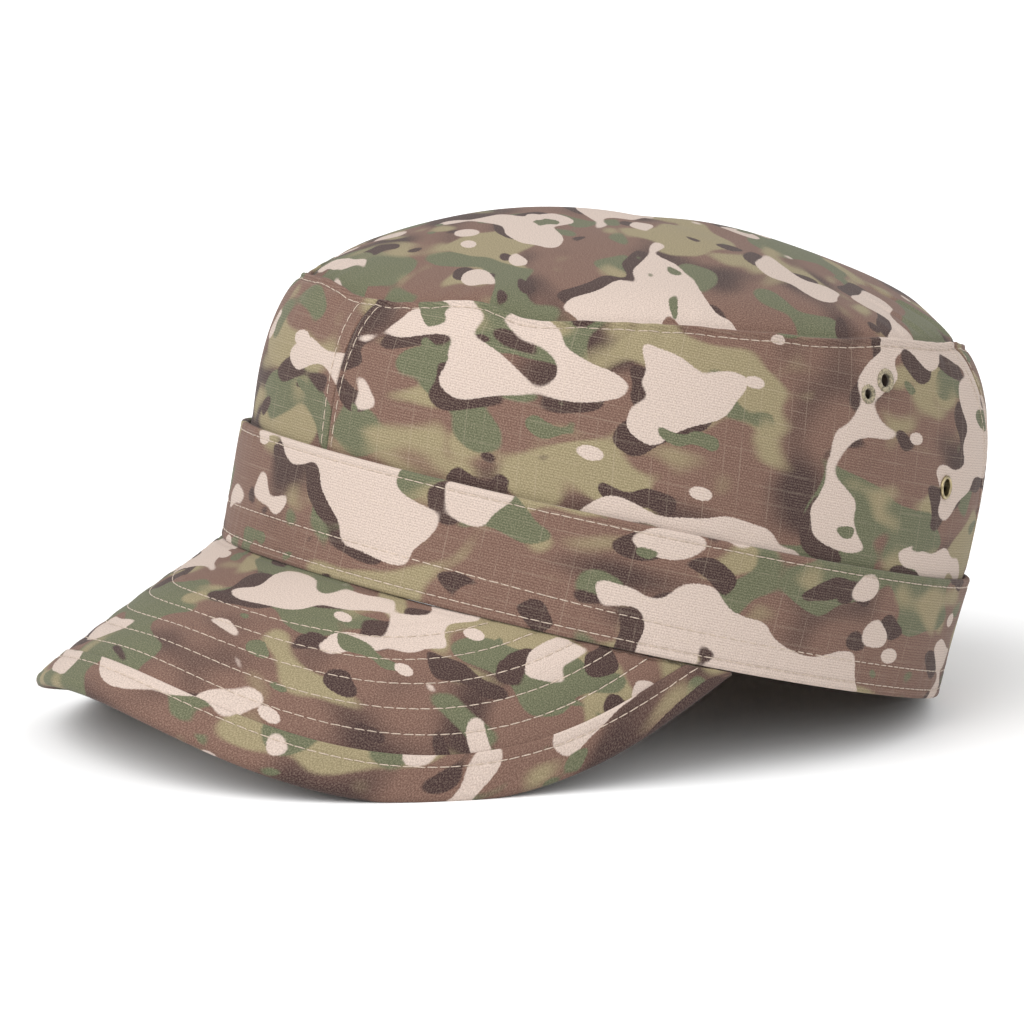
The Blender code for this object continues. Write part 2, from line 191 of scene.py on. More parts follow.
def lay_down(points):
    """Millimetres upright to metres at rest: turned about X by the tilt, shifted, lifted, and raised to the table."""
    tilt = math.radians(TILT_DEG)
    x, y, z = points[..., 0], points[..., 1], points[..., 2]
    laid = stacked(x, y * math.cos(tilt) + z * math.sin(tilt) + SHIFT_Y,
                   np.maximum(z * math.cos(tilt) - y * math.sin(tilt) + LIFT, 0.0))
    return laid * MM


# %% Surfaces of the wall, band and top
def band_surface(angle, up):
    """Outer face of the band: a straight line from its lower ring to its upper one, at a share of its height."""
    low = stacked(*ring("band_bottom", angle), 0.0)
    high = stacked(*ring("band_top", angle), blend_by_angle(HEIGHTS["band_top"], angle))
    return low + (high - low) * np.asarray(up)[..., None]


def wall_surface(angle, share):
    """Outer face of the wall: behind the band below share 0, then a parabola through three rings."""
    inset = BAND_WALL + GAP
    low_z = blend_by_angle(HEIGHTS["band_top"], angle)
    high_z = seam_height(angle)
    hidden = stacked(*ring("band_bottom", angle, inset), 0.0)
    low = stacked(*ring("band_top", angle, inset), low_z)
    middle = stacked(*ring("wall_middle", angle), low_z + (high_z - low_z) * WALL_MIDDLE_SHARE)
    high = stacked(*ring("top_seam", angle), high_z)
    t = np.asarray(share)[..., None]
    visible = low * 2.0 * (t - 0.5) * (t - 1.0) + middle * 4.0 * t * (1.0 - t) + high * 2.0 * t * (t - 0.5)
    return np.where(t < 0.0, low + (hidden - low) * -t, visible)


def dome_surface(angle, rho):
    """Crown top: the seam ring drawn in to a centre by rho, while it rises as 1 - rho ^ power."""
    x, y = ring("top_seam", angle, CLOTH_WALL + GAP)
    centre_y = (RINGS["top_seam"]["back"] - RINGS["top_seam"]["front"]) / 2.0
    centre_z = (HEIGHTS["top_seam"]["front"] + HEIGHTS["top_seam"]["back"]) / 2.0
    rim_z = blend_by_angle(HEIGHTS["top_seam"], angle)
    corner = (seam_height(angle) - rim_z) * rho ** 7
    z = centre_z + (rim_z - centre_z) * rho + DOME_RISE * (1.0 - rho ** DOME_POWER) + corner
    return stacked(x * rho, centre_y + (y - centre_y) * rho, z)


def slopes(surface, a, b, step_a=0.0005, step_b=0.0005):
    """Outward normals and both partial slopes of a surface, from central differences of its two parameters."""
    along_a = (surface(a + step_a, b) - surface(a - step_a, b)) / (2.0 * step_a)
    along_b = (surface(a, b + step_b) - surface(a, b - step_b)) / (2.0 * step_b)
    return unit(np.cross(along_a, along_b)), along_a, along_b


front_point = lay_down(wall_surface(np.array([0.0]), np.array([1.0])))[0]
print("the top seam's front stands at", front_point.round(4), "m")

# %% [markdown]
# ## From a grid to a mesh
# Every cloth piece is one closed skin: a section that goes out along one face and back along the other, carried
# along the piece. Its points are one numpy grid, and its faces are index arithmetic, so no loop visits a vertex.
# The UV map holds the place of each point on the flat cloth in millimetres, as the piece was cut. That makes the
# print and the weave follow the cloth, and the edges of two pieces break the print as real seams do.


# %% Grid to mesh
def stations(length, coarse, fine=None, places=(), reach=1.5):
    """Positions from 0 to length, about coarse apart, and fine apart within reach of each of the places."""
    ruler = np.linspace(0.0, length, 4001)
    density = np.full(ruler.shape, 1.0 / coarse)
    for place in places:
        density = np.maximum(density, np.where(np.abs(ruler - place) < reach, 1.0 / fine, 0.0))
    count = np.concatenate(([0.0], np.cumsum((density[1:] + density[:-1]) / 2.0 * np.diff(ruler))))
    return np.interp(np.linspace(0.0, count[-1], int(round(count[-1])) + 1), count, ruler)


def section_quads(rows, columns, ring_closed, keep):
    """Corner rows and unwrapped columns of the quads of a closed section; keep drops quads of both its faces."""
    across = columns if ring_closed else columns - 1
    kept = np.ones((rows, across), bool)
    if keep is not None:
        kept[:rows // 2 - 1] = keep
        kept[rows // 2:rows - 1] = keep[::-1]
    row, column = np.nonzero(kept)
    corner_rows = np.stack((row, row, row + 1, row + 1), axis=1)
    corner_columns = np.stack((column, column + 1, column + 1, column), axis=1)
    return corner_rows, corner_columns


def bridge_quads(rows, keep):
    """Quads that join the two faces round the dropped ones, edge by edge, facing into the hole."""
    low, high = np.pad(keep, ((1, 0), (0, 0)), constant_values=True), np.pad(keep, ((0, 1), (0, 0)), constant_values=True)
    left, right = np.pad(keep, ((0, 0), (1, 0)), constant_values=True), np.pad(keep, ((0, 0), (0, 1)), constant_values=True)
    found = []
    for kept, dropped, step in ((high, low, 1), (low, high, -1)):
        r, c = np.nonzero(kept & ~dropped)
        a, b = (c + 1, c) if step > 0 else (c, c + 1)
        found.append((np.stack((r, r, rows - 1 - r, rows - 1 - r), axis=1), np.stack((a, b, b, a), axis=1)))
    for kept, dropped, step in ((right, left, 1), (left, right, -1)):
        r, c = np.nonzero(kept & ~dropped)
        a, b = (r, r + 1) if step > 0 else (r + 1, r)
        found.append((np.stack((a, b, rows - 1 - b, rows - 1 - a), axis=1), np.stack((c, c, c, c), axis=1)))
    return [np.concatenate(parts) for parts in zip(*found)]


def cap_quads(rows, column):
    """The ladder of quads that closes one end of a section whose second half mirrors its first."""
    k = np.arange(rows // 2 - 1)
    ladder = np.stack((k, k + 1, rows - 2 - k, rows - 1 - k), axis=1)
    return (ladder if column == 0 else ladder[:, ::-1]), np.full(ladder.shape, column)


def finished_object(name, mesh, materials):
    """Links a mesh as a smooth-shaded object that rides on the cap's one body."""
    mesh.validate()
    mesh.shade_smooth()
    for material in materials:
        mesh.materials.append(material)
    made = bpy.data.objects.new(name, mesh)
    bpy.context.scene.collection.objects.link(made)
    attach(made, "root")
    print(name, len(mesh.vertices), "points", sum(len(p.vertices) - 2 for p in mesh.polygons), "triangles")
    return made


def sewn_cloth(name, grid, cloth, materials, ring_closed=False, keep=None, reverse_from=None):
    """A closed cloth skin from its section grid; rows from reverse_from on take the second material."""
    rows, columns = grid.shape[:2]
    corner_rows, corner_columns = section_quads(rows, columns, ring_closed, keep)
    parts = [(corner_rows, corner_columns)]
    if keep is not None:
        parts.append(bridge_quads(rows, keep))
    if not ring_closed:
        parts += [cap_quads(rows, 0), cap_quads(rows, columns - 1)]
    corner_rows, corner_columns = (np.concatenate([part[i] for part in parts]) for i in (0, 1))
    corners = (corner_rows % rows) * columns + corner_columns % columns
    used, corners = np.unique(corners, return_inverse=True)
    mesh = bpy.data.meshes.new(name)
    mesh.from_pydata(lay_down(grid.reshape(-1, 3)[used]).tolist(), [], corners.reshape(-1, 4).tolist())
    layer = mesh.uv_layers.new(name="cloth_mm")
    layer.data.foreach_set("uv", cloth[corner_rows % rows, corner_columns].astype(np.float32).ravel())
    if reverse_from is not None:
        on_back = (corner_rows[:, 0] >= reverse_from) & (corner_rows[:, 0] < rows)
        mesh.polygons.foreach_set("material_index", on_back.astype(np.int32))
    return finished_object(name, mesh, materials)


sample = stations(10.0, 1.0, 0.25, (5.0,))
print("stations thicken round a stitch row:", sample.round(2))

# %% [markdown]
# ## Soft hollows and puckers
# Cloth that is worn and washed is never an exact surface. Broad hollows of a few centimetres come from handling,
# and short puckers come from the stitches, which pull the cloth together. Both are small sums of waves with seeded
# directions and phases, so the cap comes out the same each time.


# %% Soft relief
def soft_hollows(points, seed, wavelength, depth):
    """Sum of nine plane waves through space with seeded directions, lengths near wavelength and seeded phases."""
    rng = np.random.default_rng(seed)
    directions = unit(rng.normal(size=(9, 3))) * 2.0 * math.pi / (wavelength * rng.uniform(0.7, 1.5, (9, 1)))
    phases = rng.uniform(0.0, 2.0 * math.pi, 9)
    return np.sin(points @ directions.T + phases).sum(axis=-1) * depth / 3.0


def puckers(angle, count, seed):
    """Sum of six waves round the cap with whole counts near the given one, between about -1 and 1."""
    rng = np.random.default_rng(seed)
    counts = np.round(count * rng.uniform(0.6, 1.5, 6))
    phases = rng.uniform(0.0, 2.0 * math.pi, 6)
    return np.sin(np.asarray(angle)[..., None] * counts + phases).sum(axis=-1) / 3.0


# %% [markdown]
# ## The printed cloth
# Patrol caps are cut from cotton ripstop: a plain weave with a thicker thread every few millimetres, printed in
# rotary screens, one for each colour. A picture could be wrapped round the cap, but a print that is worked out
# in nodes has no pixels and follows every cut piece. Each colour of the print is one screen below: smooth noise
# that is cut off at a level gives rounded patches, and how sharply it is cut gives hard or brushed edges. Over
# the print come the yarns, whose pale cores show through the dye, and the ripstop threads.
# The yarns' relief is also painted into the colour: painted shade in the valleys of the weave and lighter crests.

# %% Colours and the node function
COLOURS = {
    "brown": "#694F45",
    "dark_brown": "#3A2928",
    "green": "#585B45",
    "khaki": "#84795D",
    "pale": "#B6A69C",
    "yarn_core": "#B2A390",
    "thread": "#B8A797",
    "buttonhole": "#A2977F",
    "brass": "#B8A985",
    "table": "#F4F4F4",
}


def linear(name):
    """The linear colour of a named sRGB hex: ((c + 0.055) / 1.055) ^ 2.4 above the short straight start."""
    code = COLOURS[name].lstrip("#")
    channels = [int(code[i:i + 2], 16) / 255.0 for i in (0, 2, 4)]
    return (*[c / 12.92 if c <= 0.04045 else ((c + 0.055) / 1.055) ** 2.4 for c in channels], 1.0)


def wire(tree, node, inputs):
    """Gives each named or numbered input a value, a socket to follow, or another node's first output."""
    for key, value in dict(inputs).items():
        names = [socket.name if socket.enabled else None for socket in node.inputs]
        socket = node.inputs[key if isinstance(key, int) else names.index(key)]
        if isinstance(value, bpy.types.Node):
            value = next(out for out in value.outputs if out.enabled)
        if isinstance(value, bpy.types.NodeSocket):
            tree.links.new(value, socket)
        else:
            socket.default_value = value


def add_node(tree, kind, inputs=(), **settings):
    """Adds a shader node, sets its settings, and wires its inputs."""
    node = tree.nodes.new("ShaderNode" + kind)
    for name, value in settings.items():
        setattr(node, name, value)
    wire(tree, node, inputs)
    return node


print("pale cloth in linear light:", [round(x, 3) for x in linear("pale")[:3]])

# %% [markdown]
# ### The screens of the print
# A patch is wider than it is high, so the noise is stretched. Adding a finer noise before the cut gives the
# patches lobes and leaves their edges smooth, which warping would not. A second cut of the same noise, moved a
# few millimetres, makes a dark patch that peeps out beside a pale one, as screens that overlap do.

# %% Screens
PATCH_FLATNESS = 1.6
LOBE_SHARE = 0.62
SCREEN_COLUMNS = ("colour", "width_mm", "level", "softness", "x", "y")
SCREEN_TABLE = (
    ("dark_brown", 54.0, 0.610, 0.110, 4.1, 8.3),
    ("khaki", 46.0, 0.625, 0.030, 5.5, 9.1),
    ("green", 48.0, 0.575, 0.010, 1.7, 4.4),
    ("khaki", 36.0, 0.665, 0.070, 1.9, 4.1),
    ("dark_brown", 41.6, 0.622, 0.008, 2.44, 6.37),
    ("dark_brown", 30.0, 0.715, 0.008, 9.3, 3.6),
    ("pale", 42.0, 0.592, 0.006, 2.4, 6.3),
    ("green", 26.0, 0.735, 0.008, 7.7, 0.6),
)
SCREENS = [dict(zip(SCREEN_COLUMNS, row)) for row in SCREEN_TABLE]


def patches(tree, cloth, row):
    """Mask of one screen: two octaves of flattened 2-D noise, cut off at a level over a soft or a hard step."""
    size = (1.0 / row["width_mm"], PATCH_FLATNESS / row["width_mm"], 1.0)
    place = (row["x"], row["y"], 0.0)
    where = add_node(tree, "Mapping", {"Vector": cloth, "Location": place, "Scale": size})
    noise = add_node(tree, "TexNoise", {"Vector": where, "Scale": 1.0, "Detail": 1.0, "Roughness": LOBE_SHARE,
                                        "Lacunarity": 2.7, "Distortion": 0.12}, noise_dimensions="2D")
    return add_node(tree, "MapRange", {"Value": noise, "From Min": row["level"] - row["softness"],
                                       "From Max": row["level"] + row["softness"]},
                    interpolation_type="SMOOTHSTEP")


SPOT_CELL_MM = 23.0
SPOT_SHARE = 0.22


def small_spots(tree, cloth):
    """Small pale ellipses: a share of the cells of a 2-D Voronoi pattern, each with a spot of its own size."""
    size = (0.8 / SPOT_CELL_MM, 1.5 / SPOT_CELL_MM, 1.0)
    where = add_node(tree, "Mapping", {"Vector": cloth, "Rotation": (0.0, 0.0, 0.2), "Scale": size})
    cells = add_node(tree, "TexVoronoi", {"Vector": where, "Scale": 1.0, "Randomness": 0.8},
                     voronoi_dimensions="2D")
    chance = add_node(tree, "SeparateColor", {"Color": cells.outputs["Color"]})
    chosen = add_node(tree, "Math", {0: chance.outputs["Red"], 1: SPOT_SHARE}, operation="LESS_THAN")
    size = add_node(tree, "MapRange", {"Value": chance.outputs["Green"], "To Min": 0.07, "To Max": 0.15})
    inside = add_node(tree, "Math", {0: size, 1: cells}, operation="SUBTRACT")
    edge = add_node(tree, "MapRange", {"Value": inside, "From Min": -0.006, "From Max": 0.006})
    return add_node(tree, "Math", {0: chosen, 1: edge}, operation="MULTIPLY")


def printed(tree, cloth):
    """The whole print: brown ground, then each screen laid over what is under it, then the small spots."""
    colour = linear("brown")
    for row in SCREENS:
        colour = add_node(tree, "Mix", {"Factor": patches(tree, cloth, row), "A": colour,
                                        "B": linear(row["colour"])}, data_type="RGBA")
    return add_node(tree, "Mix", {"Factor": small_spots(tree, cloth), "A": colour, "B": linear("pale")},
                    data_type="RGBA")


print("screens:", len(SCREENS), "and small spots every", SPOT_CELL_MM, "mm")

# %% [markdown]
# ### Yarns and ripstop threads
# In a plain weave each thread goes over one and under the next, so the surface is a checkerboard of short
# floats. A sine across times a sine along gives that, and noise makes each float a little different. The real
# yarns are about 0.3 mm apart, too fine for the picture, so the ribs are drawn 0.64 mm apart. The thicker
# ripstop threads are real size: pale lines 0.25 mm wide in a grid of about 4 mm, worn away in places.

# %% Weave
RIB_MM = 0.64
FLOAT_MM = 0.42
YARN_MM = 0.35
RIPSTOP_MM = (4.5, 3.9)
RIPSTOP_THREAD_MM = 0.27
RIPSTOP_FADE_MM = 16.0


def ripstop_lines(tree, cloth, place, axis):
    """Lines every pitch across one axis: how near a coordinate is to a whole pitch, times noise along it."""
    pitch = RIPSTOP_MM[axis]
    near = add_node(tree, "Math", {0: place, 1: pitch / 2.0}, operation="PINGPONG")
    line = add_node(tree, "MapRange", {"Value": near, "From Min": RIPSTOP_THREAD_MM * 0.75, "From Max": 0.0})
    stretch = [1.0 / RIPSTOP_FADE_MM] * 2
    stretch[axis] = 1.0 / pitch
    where = add_node(tree, "Mapping", {"Vector": cloth, "Location": (pitch, pitch, 0.0),
                                       "Scale": (*stretch, 1.0)})
    fade = add_node(tree, "TexNoise", {"Vector": where, "Scale": 1.0, "Detail": 2.0}, noise_dimensions="2D")
    shown = add_node(tree, "MapRange", {"Value": fade, "From Min": 0.40, "From Max": 0.66})
    return add_node(tree, "Math", {0: line, 1: shown}, operation="MULTIPLY")


def weave(tree, cloth, ribs):
    """Height of the yarns: floats as sine times sine, ribs as the size of the sine along, and noise."""
    place = add_node(tree, "SeparateXYZ", {"Vector": cloth})
    noise = add_node(tree, "TexNoise", {"Vector": cloth, "Scale": 1.0 / YARN_MM, "Detail": 1.0},
                     noise_dimensions="2D")
    waves = []
    for axis, length in enumerate((FLOAT_MM, RIB_MM)):
        turned = add_node(tree, "Math", {0: place.outputs[axis], 1: math.pi / length}, operation="MULTIPLY")
        waves.append(add_node(tree, "Math", {0: turned}, operation="SINE"))
    floats = add_node(tree, "Math", {0: waves[0], 1: waves[1]}, operation="MULTIPLY")
    crest = add_node(tree, "Math", {0: waves[1]}, operation="ABSOLUTE")
    ribbed = add_node(tree, "Math", {0: crest, 1: 0.26 * ribs, 2: noise}, operation="MULTIPLY_ADD")
    height = add_node(tree, "Math", {0: floats, 1: 0.05, 2: ribbed}, operation="MULTIPLY_ADD")
    return height, place


print("yarn noise", YARN_MM, "mm, ribs", RIB_MM, "mm, ripstop grid", RIPSTOP_MM, "mm")


# %% Cloth
def printed_cloth(name, ribs, ripstop, bleached=0.0):
    """Printed cotton: matt and fuzzy, with painted shade in the valleys of its weave and lighter crests. ribs and
    ripstop say how much of the weave shows on this side.
    """
    material = bpy.data.materials.new(name)
    material.use_nodes = True
    tree = material.node_tree
    shader = tree.nodes["Principled BSDF"]
    cloth = add_node(tree, "UVMap", uv_map="cloth_mm")
    height, place = weave(tree, cloth, ribs)
    bleed = add_node(tree, "TexNoise", {"Vector": cloth, "Scale": 1.0 / (2.0 * YARN_MM)}, noise_dimensions="2D")
    spread = add_node(tree, "VectorMath", {0: bleed.outputs["Color"], 1: (0.45, 0.45, 0.0), 2: cloth},
                      operation="MULTIPLY_ADD")
    colour = printed(tree, spread)
    middle = 0.5 + 0.15 * ribs
    core = add_node(tree, "MapRange", {"Value": height, "From Min": middle - 0.12, "From Max": middle + 0.40,
                                       "To Max": 0.17})
    cored = add_node(tree, "Mix", {"Factor": core, "A": colour, "B": linear("yarn_core")}, data_type="RGBA")
    # Painted shade of the weave: darker in the valleys between ribs and floats, lighter on their crests, mixed with
    # the yarns' own random speckle.
    shade = add_node(tree, "MapRange", {"Value": height, "From Min": middle - 0.28, "From Max": middle + 0.28,
                                        "To Min": 0.74, "To Max": 1.16})
    shaded_weave_colour = add_node(tree, "Mix", {"Factor": 1.0, "A": cored, "B": shade}, data_type="RGBA",
                     blend_type="MULTIPLY")
    lines = [ripstop_lines(tree, cloth, place.outputs[axis], axis) for axis in (0, 1)]
    grid = add_node(tree, "Math", {0: lines[0], 1: lines[1]}, operation="MAXIMUM")
    shown = add_node(tree, "Math", {0: grid, 1: 0.22 * ripstop}, operation="MULTIPLY")
    lined = add_node(tree, "Mix", {"Factor": shown, "A": shaded_weave_colour, "B": linear("yarn_core")}, data_type="RGBA")
    faded = add_node(tree, "Mix", {"Factor": bleached, "A": lined, "B": linear("pale")}, data_type="RGBA")
    raised = add_node(tree, "Math", {0: grid, 1: 0.5 * ripstop, 2: height}, operation="MULTIPLY_ADD")
    bump = add_node(tree, "Bump", {"Height": raised, "Strength": 0.35, "Distance": 0.00012})
    wire(tree, shader, {"Base Color": faded, "Normal": bump, "Roughness": 0.92, "Specular IOR Level": 0.15,
                        "Sheen Weight": 0.08, "Sheen Roughness": 0.5})
    return material


# Printed cotton ripstop, the ribbed right side: matt, with fuzz that lightens it where it turns away.
ripstop_cloth = printed_cloth("printed_cotton_ripstop", ribs=1.0, ripstop=1.0)
# The same cloth brushed and washed flat, as on the top and the peak: no ribs, only the speckle of the yarns.
fine_cloth = printed_cloth("printed_cotton_brushed", ribs=0.15, ripstop=0.10)
# Its wrong side, where the dye came only half through.
cloth_reverse = printed_cloth("cotton_ripstop_reverse", ribs=0.8, ripstop=0.5, bleached=0.5)
print("cloth materials:", [m.name for m in (ripstop_cloth, fine_cloth, cloth_reverse)])

# %% [markdown]
# ## The wall of the crown
# Three panels make the wall. Their seams are felled: one edge is folded over the other and sewn down with two rows,
# so the cloth beside a seam is thicker and stands proud. At the top the wall is turned out over the seam of the oval
# top and sewn again, which leaves a rolled ridge. One relief formula covers the whole wall, and the panels are cut
# out of it, so the folds run on from one panel to the next.

# %% Seams of the wall
FRONT_SEAM_DEG = (3.3, 5.7)
BACK_SEAM_DEG = (143.0, 125.0)
SEAM_GAP_DEG = 0.005
WALL_STARTS_AT = -0.93
SEAM_COLUMNS = ("low_deg", "high_deg", "before_low", "before_high", "after_low", "after_high")
SEAM_TABLE = {
    "front": (*FRONT_SEAM_DEG, 2.2, 5.0, 1.7, 2.5),
    "back_left": (*BACK_SEAM_DEG, 2.6, 4.6, 1.6, 2.2),
    "back_right": (-BACK_SEAM_DEG[0], -BACK_SEAM_DEG[1], 1.6, 2.2, 2.6, 4.6),
}
SEAMS = {name: dict(zip(SEAM_COLUMNS, row)) for name, row in SEAM_TABLE.items()}
FELL_LIFT = 0.35
JOIN_DEPTH = 0.40
JOIN_WIDTH = 0.28
STITCH_DEPTH = 0.20
STITCH_WIDTH = 0.42
TOPSTITCH_BELOW = {"front": 2.1, "side": 2.3, "back": 2.1}
ROLL_RADIUS = 0.8
ROLL_OUT = 0.50
ROLL_END_DEG = 150.0
ROLL_BLEND = 0.8


def between(row, name, share):
    """A seam's value at a share of the wall's height, between its low and its high one."""
    return row[name + "_low"] + (row[name + "_high"] - row[name + "_low"]) * np.clip(share, 0.0, 1.0)


def seam_angle(row, share):
    """Angle of a seam in radians at a share of the wall's height."""
    degrees = row["low_deg"] + (row["high_deg"] - row["low_deg"]) * np.clip(share, 0.0, 1.0)
    return np.radians(degrees)


def wall_walked(angle, share):
    """Length up the wall's outer face from the band's top edge to a share, as a polyline of nine points."""
    steps = np.linspace(0.0, 1.0, 9).reshape((9,) + (1,) * np.ndim(share)) * share
    line = wall_surface(np.broadcast_to(angle, steps.shape), steps)
    return np.linalg.norm(np.diff(line, axis=0), axis=-1).sum(axis=0) * np.sign(share)


def wall_height(angle):
    """Length of the wall's outer face from the band's top edge to the top seam."""
    return wall_walked(angle, np.ones(np.shape(angle)))


def share_below(angle, below):
    """Share at a distance below the top seam: a guess from the slope at the seam, corrected three times."""
    share = np.ones(np.broadcast_shapes(np.shape(angle), np.shape(below)))
    angle = np.broadcast_to(angle, share.shape)
    height = wall_height(angle)
    for _ in range(4):
        speed = np.linalg.norm(slopes(wall_surface, angle, share)[2], axis=-1)
        share = share + (height - wall_walked(angle, share) - below) / speed
    return share


def wall_relief(angle, share):
    """Height of the cloth over the plain wall: felled strips, joins, stitch rows, ridge, puckers and soft hollows."""
    normal, along, _ = slopes(wall_surface, angle, share)
    per_radian = np.linalg.norm(along, axis=-1)
    walked = wall_walked(angle, share)
    below = wall_height(angle) - walked
    visible = smooth((share + 0.02) / 0.05)
    lift = soft_hollows(wall_surface(angle, share), 11, 46.0, 0.42)
    topstitch = blend_by_angle(TOPSTITCH_BELOW, angle)
    lift += puckers(angle, 66, 5) * 0.15 * bell(below - topstitch, 5.5)
    lift += puckers(angle, 40, 6) * 0.14 * bell(walked, 6.0)
    for row in SEAMS.values():
        gone = wrapped(angle - seam_angle(row, share)) * per_radian
        width = np.where(gone < 0.0, between(row, "before", share), between(row, "after", share))
        distance = np.abs(gone)
        fell = FELL_LIFT * (1.0 - smooth((distance - width - 0.5) / 1.2))
        stitched = STITCH_DEPTH * bell(distance - width, STITCH_WIDTH)
        join = JOIN_DEPTH * bell(distance, JOIN_WIDTH)
        lift += (fell - stitched - join) * visible
    lift -= STITCH_DEPTH * 1.2 * bell(below - topstitch, STITCH_WIDTH)
    ridge = ROLL_OUT * (1.0 + 0.10 * puckers(angle, 48, 7)) * smooth((ROLL_RADIUS + ROLL_BLEND - below) / ROLL_BLEND)
    return lift * smooth((below + 0.6) / 1.8) * visible + ridge, normal


def wall_face(angle, share, lift=0.0):
    """A point on the cloth's outer face, or above it by lift along the wall's normal."""
    relief, normal = wall_relief(angle, share)
    return wall_surface(angle, share) + normal * (relief + lift)[..., None]


probe = np.radians(np.array([0.0, 90.0, 180.0]))
print("wall height at front, side and back:", wall_height(probe).round(1), "mm")

# %% Holes for the eyelets
EYELET_COLUMNS = ("kind", "angle_deg", "share", "hole_radius", "flange_radius")
EYELET_TABLE = (
    ("stitched", 99.3, 0.676, 1.78, 3.00),
    ("stitched", 95.9, 0.600, 1.42, 2.45),
    ("metal", 117.6, 0.265, 2.1, 3.00),
)
EYELETS = [dict(zip(EYELET_COLUMNS, row)) for row in EYELET_TABLE]
EYELET_BARREL = 0.5


def open_holes(angle, share, side):
    """Angles and shares drawn to a circle round each eyelet's hole, and a mask of the quads that are kept."""
    keep = np.ones((angle.shape[0] - 1, angle.shape[1] - 1), bool)
    angle, share = angle.copy(), share.copy()
    for row in EYELETS:
        at = np.array([side * math.radians(row["angle_deg"])]), np.array([row["share"]])
        _, along, upward = slopes(wall_surface, *at)
        across_mm, up_mm = np.linalg.norm(along[0]), np.linalg.norm(upward[0])
        right, above = wrapped(angle - at[0]) * across_mm, (share - at[1]) * up_mm
        radius = np.hypot(right, above)
        hole = row["hole_radius"] + EYELET_BARREL * 0.5
        inside = radius < hole + 0.30
        keep &= ~(inside[:-1, :-1] & inside[1:, :-1] & inside[:-1, 1:] & inside[1:, 1:])
        scale = np.where(inside, hole / np.maximum(radius, 0.05), 1.0)
        angle = angle + right * (scale - 1.0) / across_mm
        share = share + above * (scale - 1.0) / up_mm
    return angle, share, keep


print("eyelets in each side panel:", len(EYELETS))

# %% Panels
PANEL_STEP = 0.8
FINE_STEP = 0.32
TOP_STRIP = 8.0
HIDDEN_ROWS = 5
LOW_ROWS = 58
ROLL_ROWS = 8


def panel_parameters(first_seam, last_seam, turn):
    """Angle and share of each point of a panel's face, with fine rows and columns along its stitch rows."""
    first, last = seam_angle(first_seam, 1.0), seam_angle(last_seam, 1.0) + math.radians(turn)
    width = (last - first) * RINGS["wall_middle"]["half_width"]
    steps = stations(width, PANEL_STEP, FINE_STEP, (2.5, width - 2.5), 3.6)[None, :] / width
    over = first + (last - first) * steps
    hidden = np.linspace(WALL_STARTS_AT, -0.12, HIDDEN_ROWS)[:, None]
    low = np.linspace(0.0, 1.0, LOW_ROWS, endpoint=False)[:, None]
    finest = TOP_STRIP - TOPSTITCH_BELOW["side"]
    below = TOP_STRIP - stations(TOP_STRIP - ROLL_RADIUS, 0.6, 0.25, (finest,), 2.2)[:, None]
    share = np.concatenate((hidden + 0.0 * over, low * share_below(over, TOP_STRIP), share_below(over, below)))
    gap = math.radians(SEAM_GAP_DEG)
    first, last = seam_angle(first_seam, share) + gap, seam_angle(last_seam, share) + math.radians(turn) - gap
    return first + (last - first) * steps, share


def girth_table(surface, share):
    """Arc length round a surface from its front, at one share of its height, for angles over a turn and a half."""
    angle = np.linspace(-1.5 * math.pi, 2.5 * math.pi, 2401)
    line = surface(angle, np.full(angle.shape, share))
    length = np.concatenate(([0.0], np.cumsum(np.linalg.norm(np.diff(line, axis=0), axis=-1))))
    return angle, length - np.interp(0.0, angle, length)


def on_bolt(across, upward, cut):
    """Place on the printed cloth of a piece that was cut at (x, y) millimetres and turned by some degrees."""
    x, y, turn = cut[0], cut[1], math.radians(cut[2])
    return np.stack((x + across * math.cos(turn) - upward * math.sin(turn),
                     y + across * math.sin(turn) + upward * math.cos(turn)), axis=-1)


def make_panel(name, first_seam, last_seam, turn, cut, side=0):
    """One panel: its outer face, the ridge rolled over the top edge, and its inner face back down."""
    angle, share = panel_parameters(first_seam, last_seam, turn)
    keep = None
    if side:
        angle, share, keep = open_holes(angle, share, side)
    outer = wall_face(angle, share)
    relief, normal = wall_relief(angle, share)
    inner = outer - normal * (CLOTH_WALL + np.clip(relief, 0.0, None) * 0.8)[..., None]
    top_angle = angle[-1]
    top = np.ones(top_angle.shape)
    side_out, _, upward = slopes(wall_surface, top_angle, top)
    upward = unit(upward)
    crest = wall_surface(top_angle, top) - upward * ROLL_RADIUS + side_out * (relief[-1] - ROLL_RADIUS)[:, None]
    phi = np.radians(np.linspace(0.0, ROLL_END_DEG, ROLL_ROWS + 1)[1:])[:, None, None]
    roll = crest + ROLL_RADIUS * (np.cos(phi) * side_out + np.sin(phi) * upward)
    depth = phi / math.radians(ROLL_END_DEG)
    tucked = crest - side_out * (ROLL_RADIUS * 0.85) + upward * 0.35 * depth
    grid = np.concatenate((outer, roll, tucked[::-1], inner[::-1]))
    across = np.interp(angle, *girth_table(wall_surface, 0.5))
    height = wall_walked(angle, share) - 25.0
    curled = height[-1][None, :] + ROLL_RADIUS * phi[:, :, 0]
    across = np.concatenate((across, np.repeat(across[-1:], ROLL_ROWS, axis=0)))
    height = np.concatenate((height, curled))
    cloth = on_bolt(across, height, cut)
    cloth = np.concatenate((cloth, cloth[::-1]))
    if keep is not None:
        keep = np.concatenate((keep, np.ones((ROLL_ROWS, keep.shape[1]), bool)))
    piece = sewn_cloth(name + "_cloth", grid, cloth, [ripstop_cloth, cloth_reverse], keep=keep,
                       reverse_from=grid.shape[0] // 2)
    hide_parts(name)
    return piece


make_panel("left_side_panel", SEAMS["front"], SEAMS["back_left"], 0.0, (140.0, 260.0, 0.0), 1)
make_panel("right_side_panel", SEAMS["back_right"], SEAMS["front"], 0.0, (520.0, 330.0, 0.0), -1)
make_panel("back_panel", SEAMS["back_left"], SEAMS["back_right"], 360.0, (60.0, 520.0, 0.0))

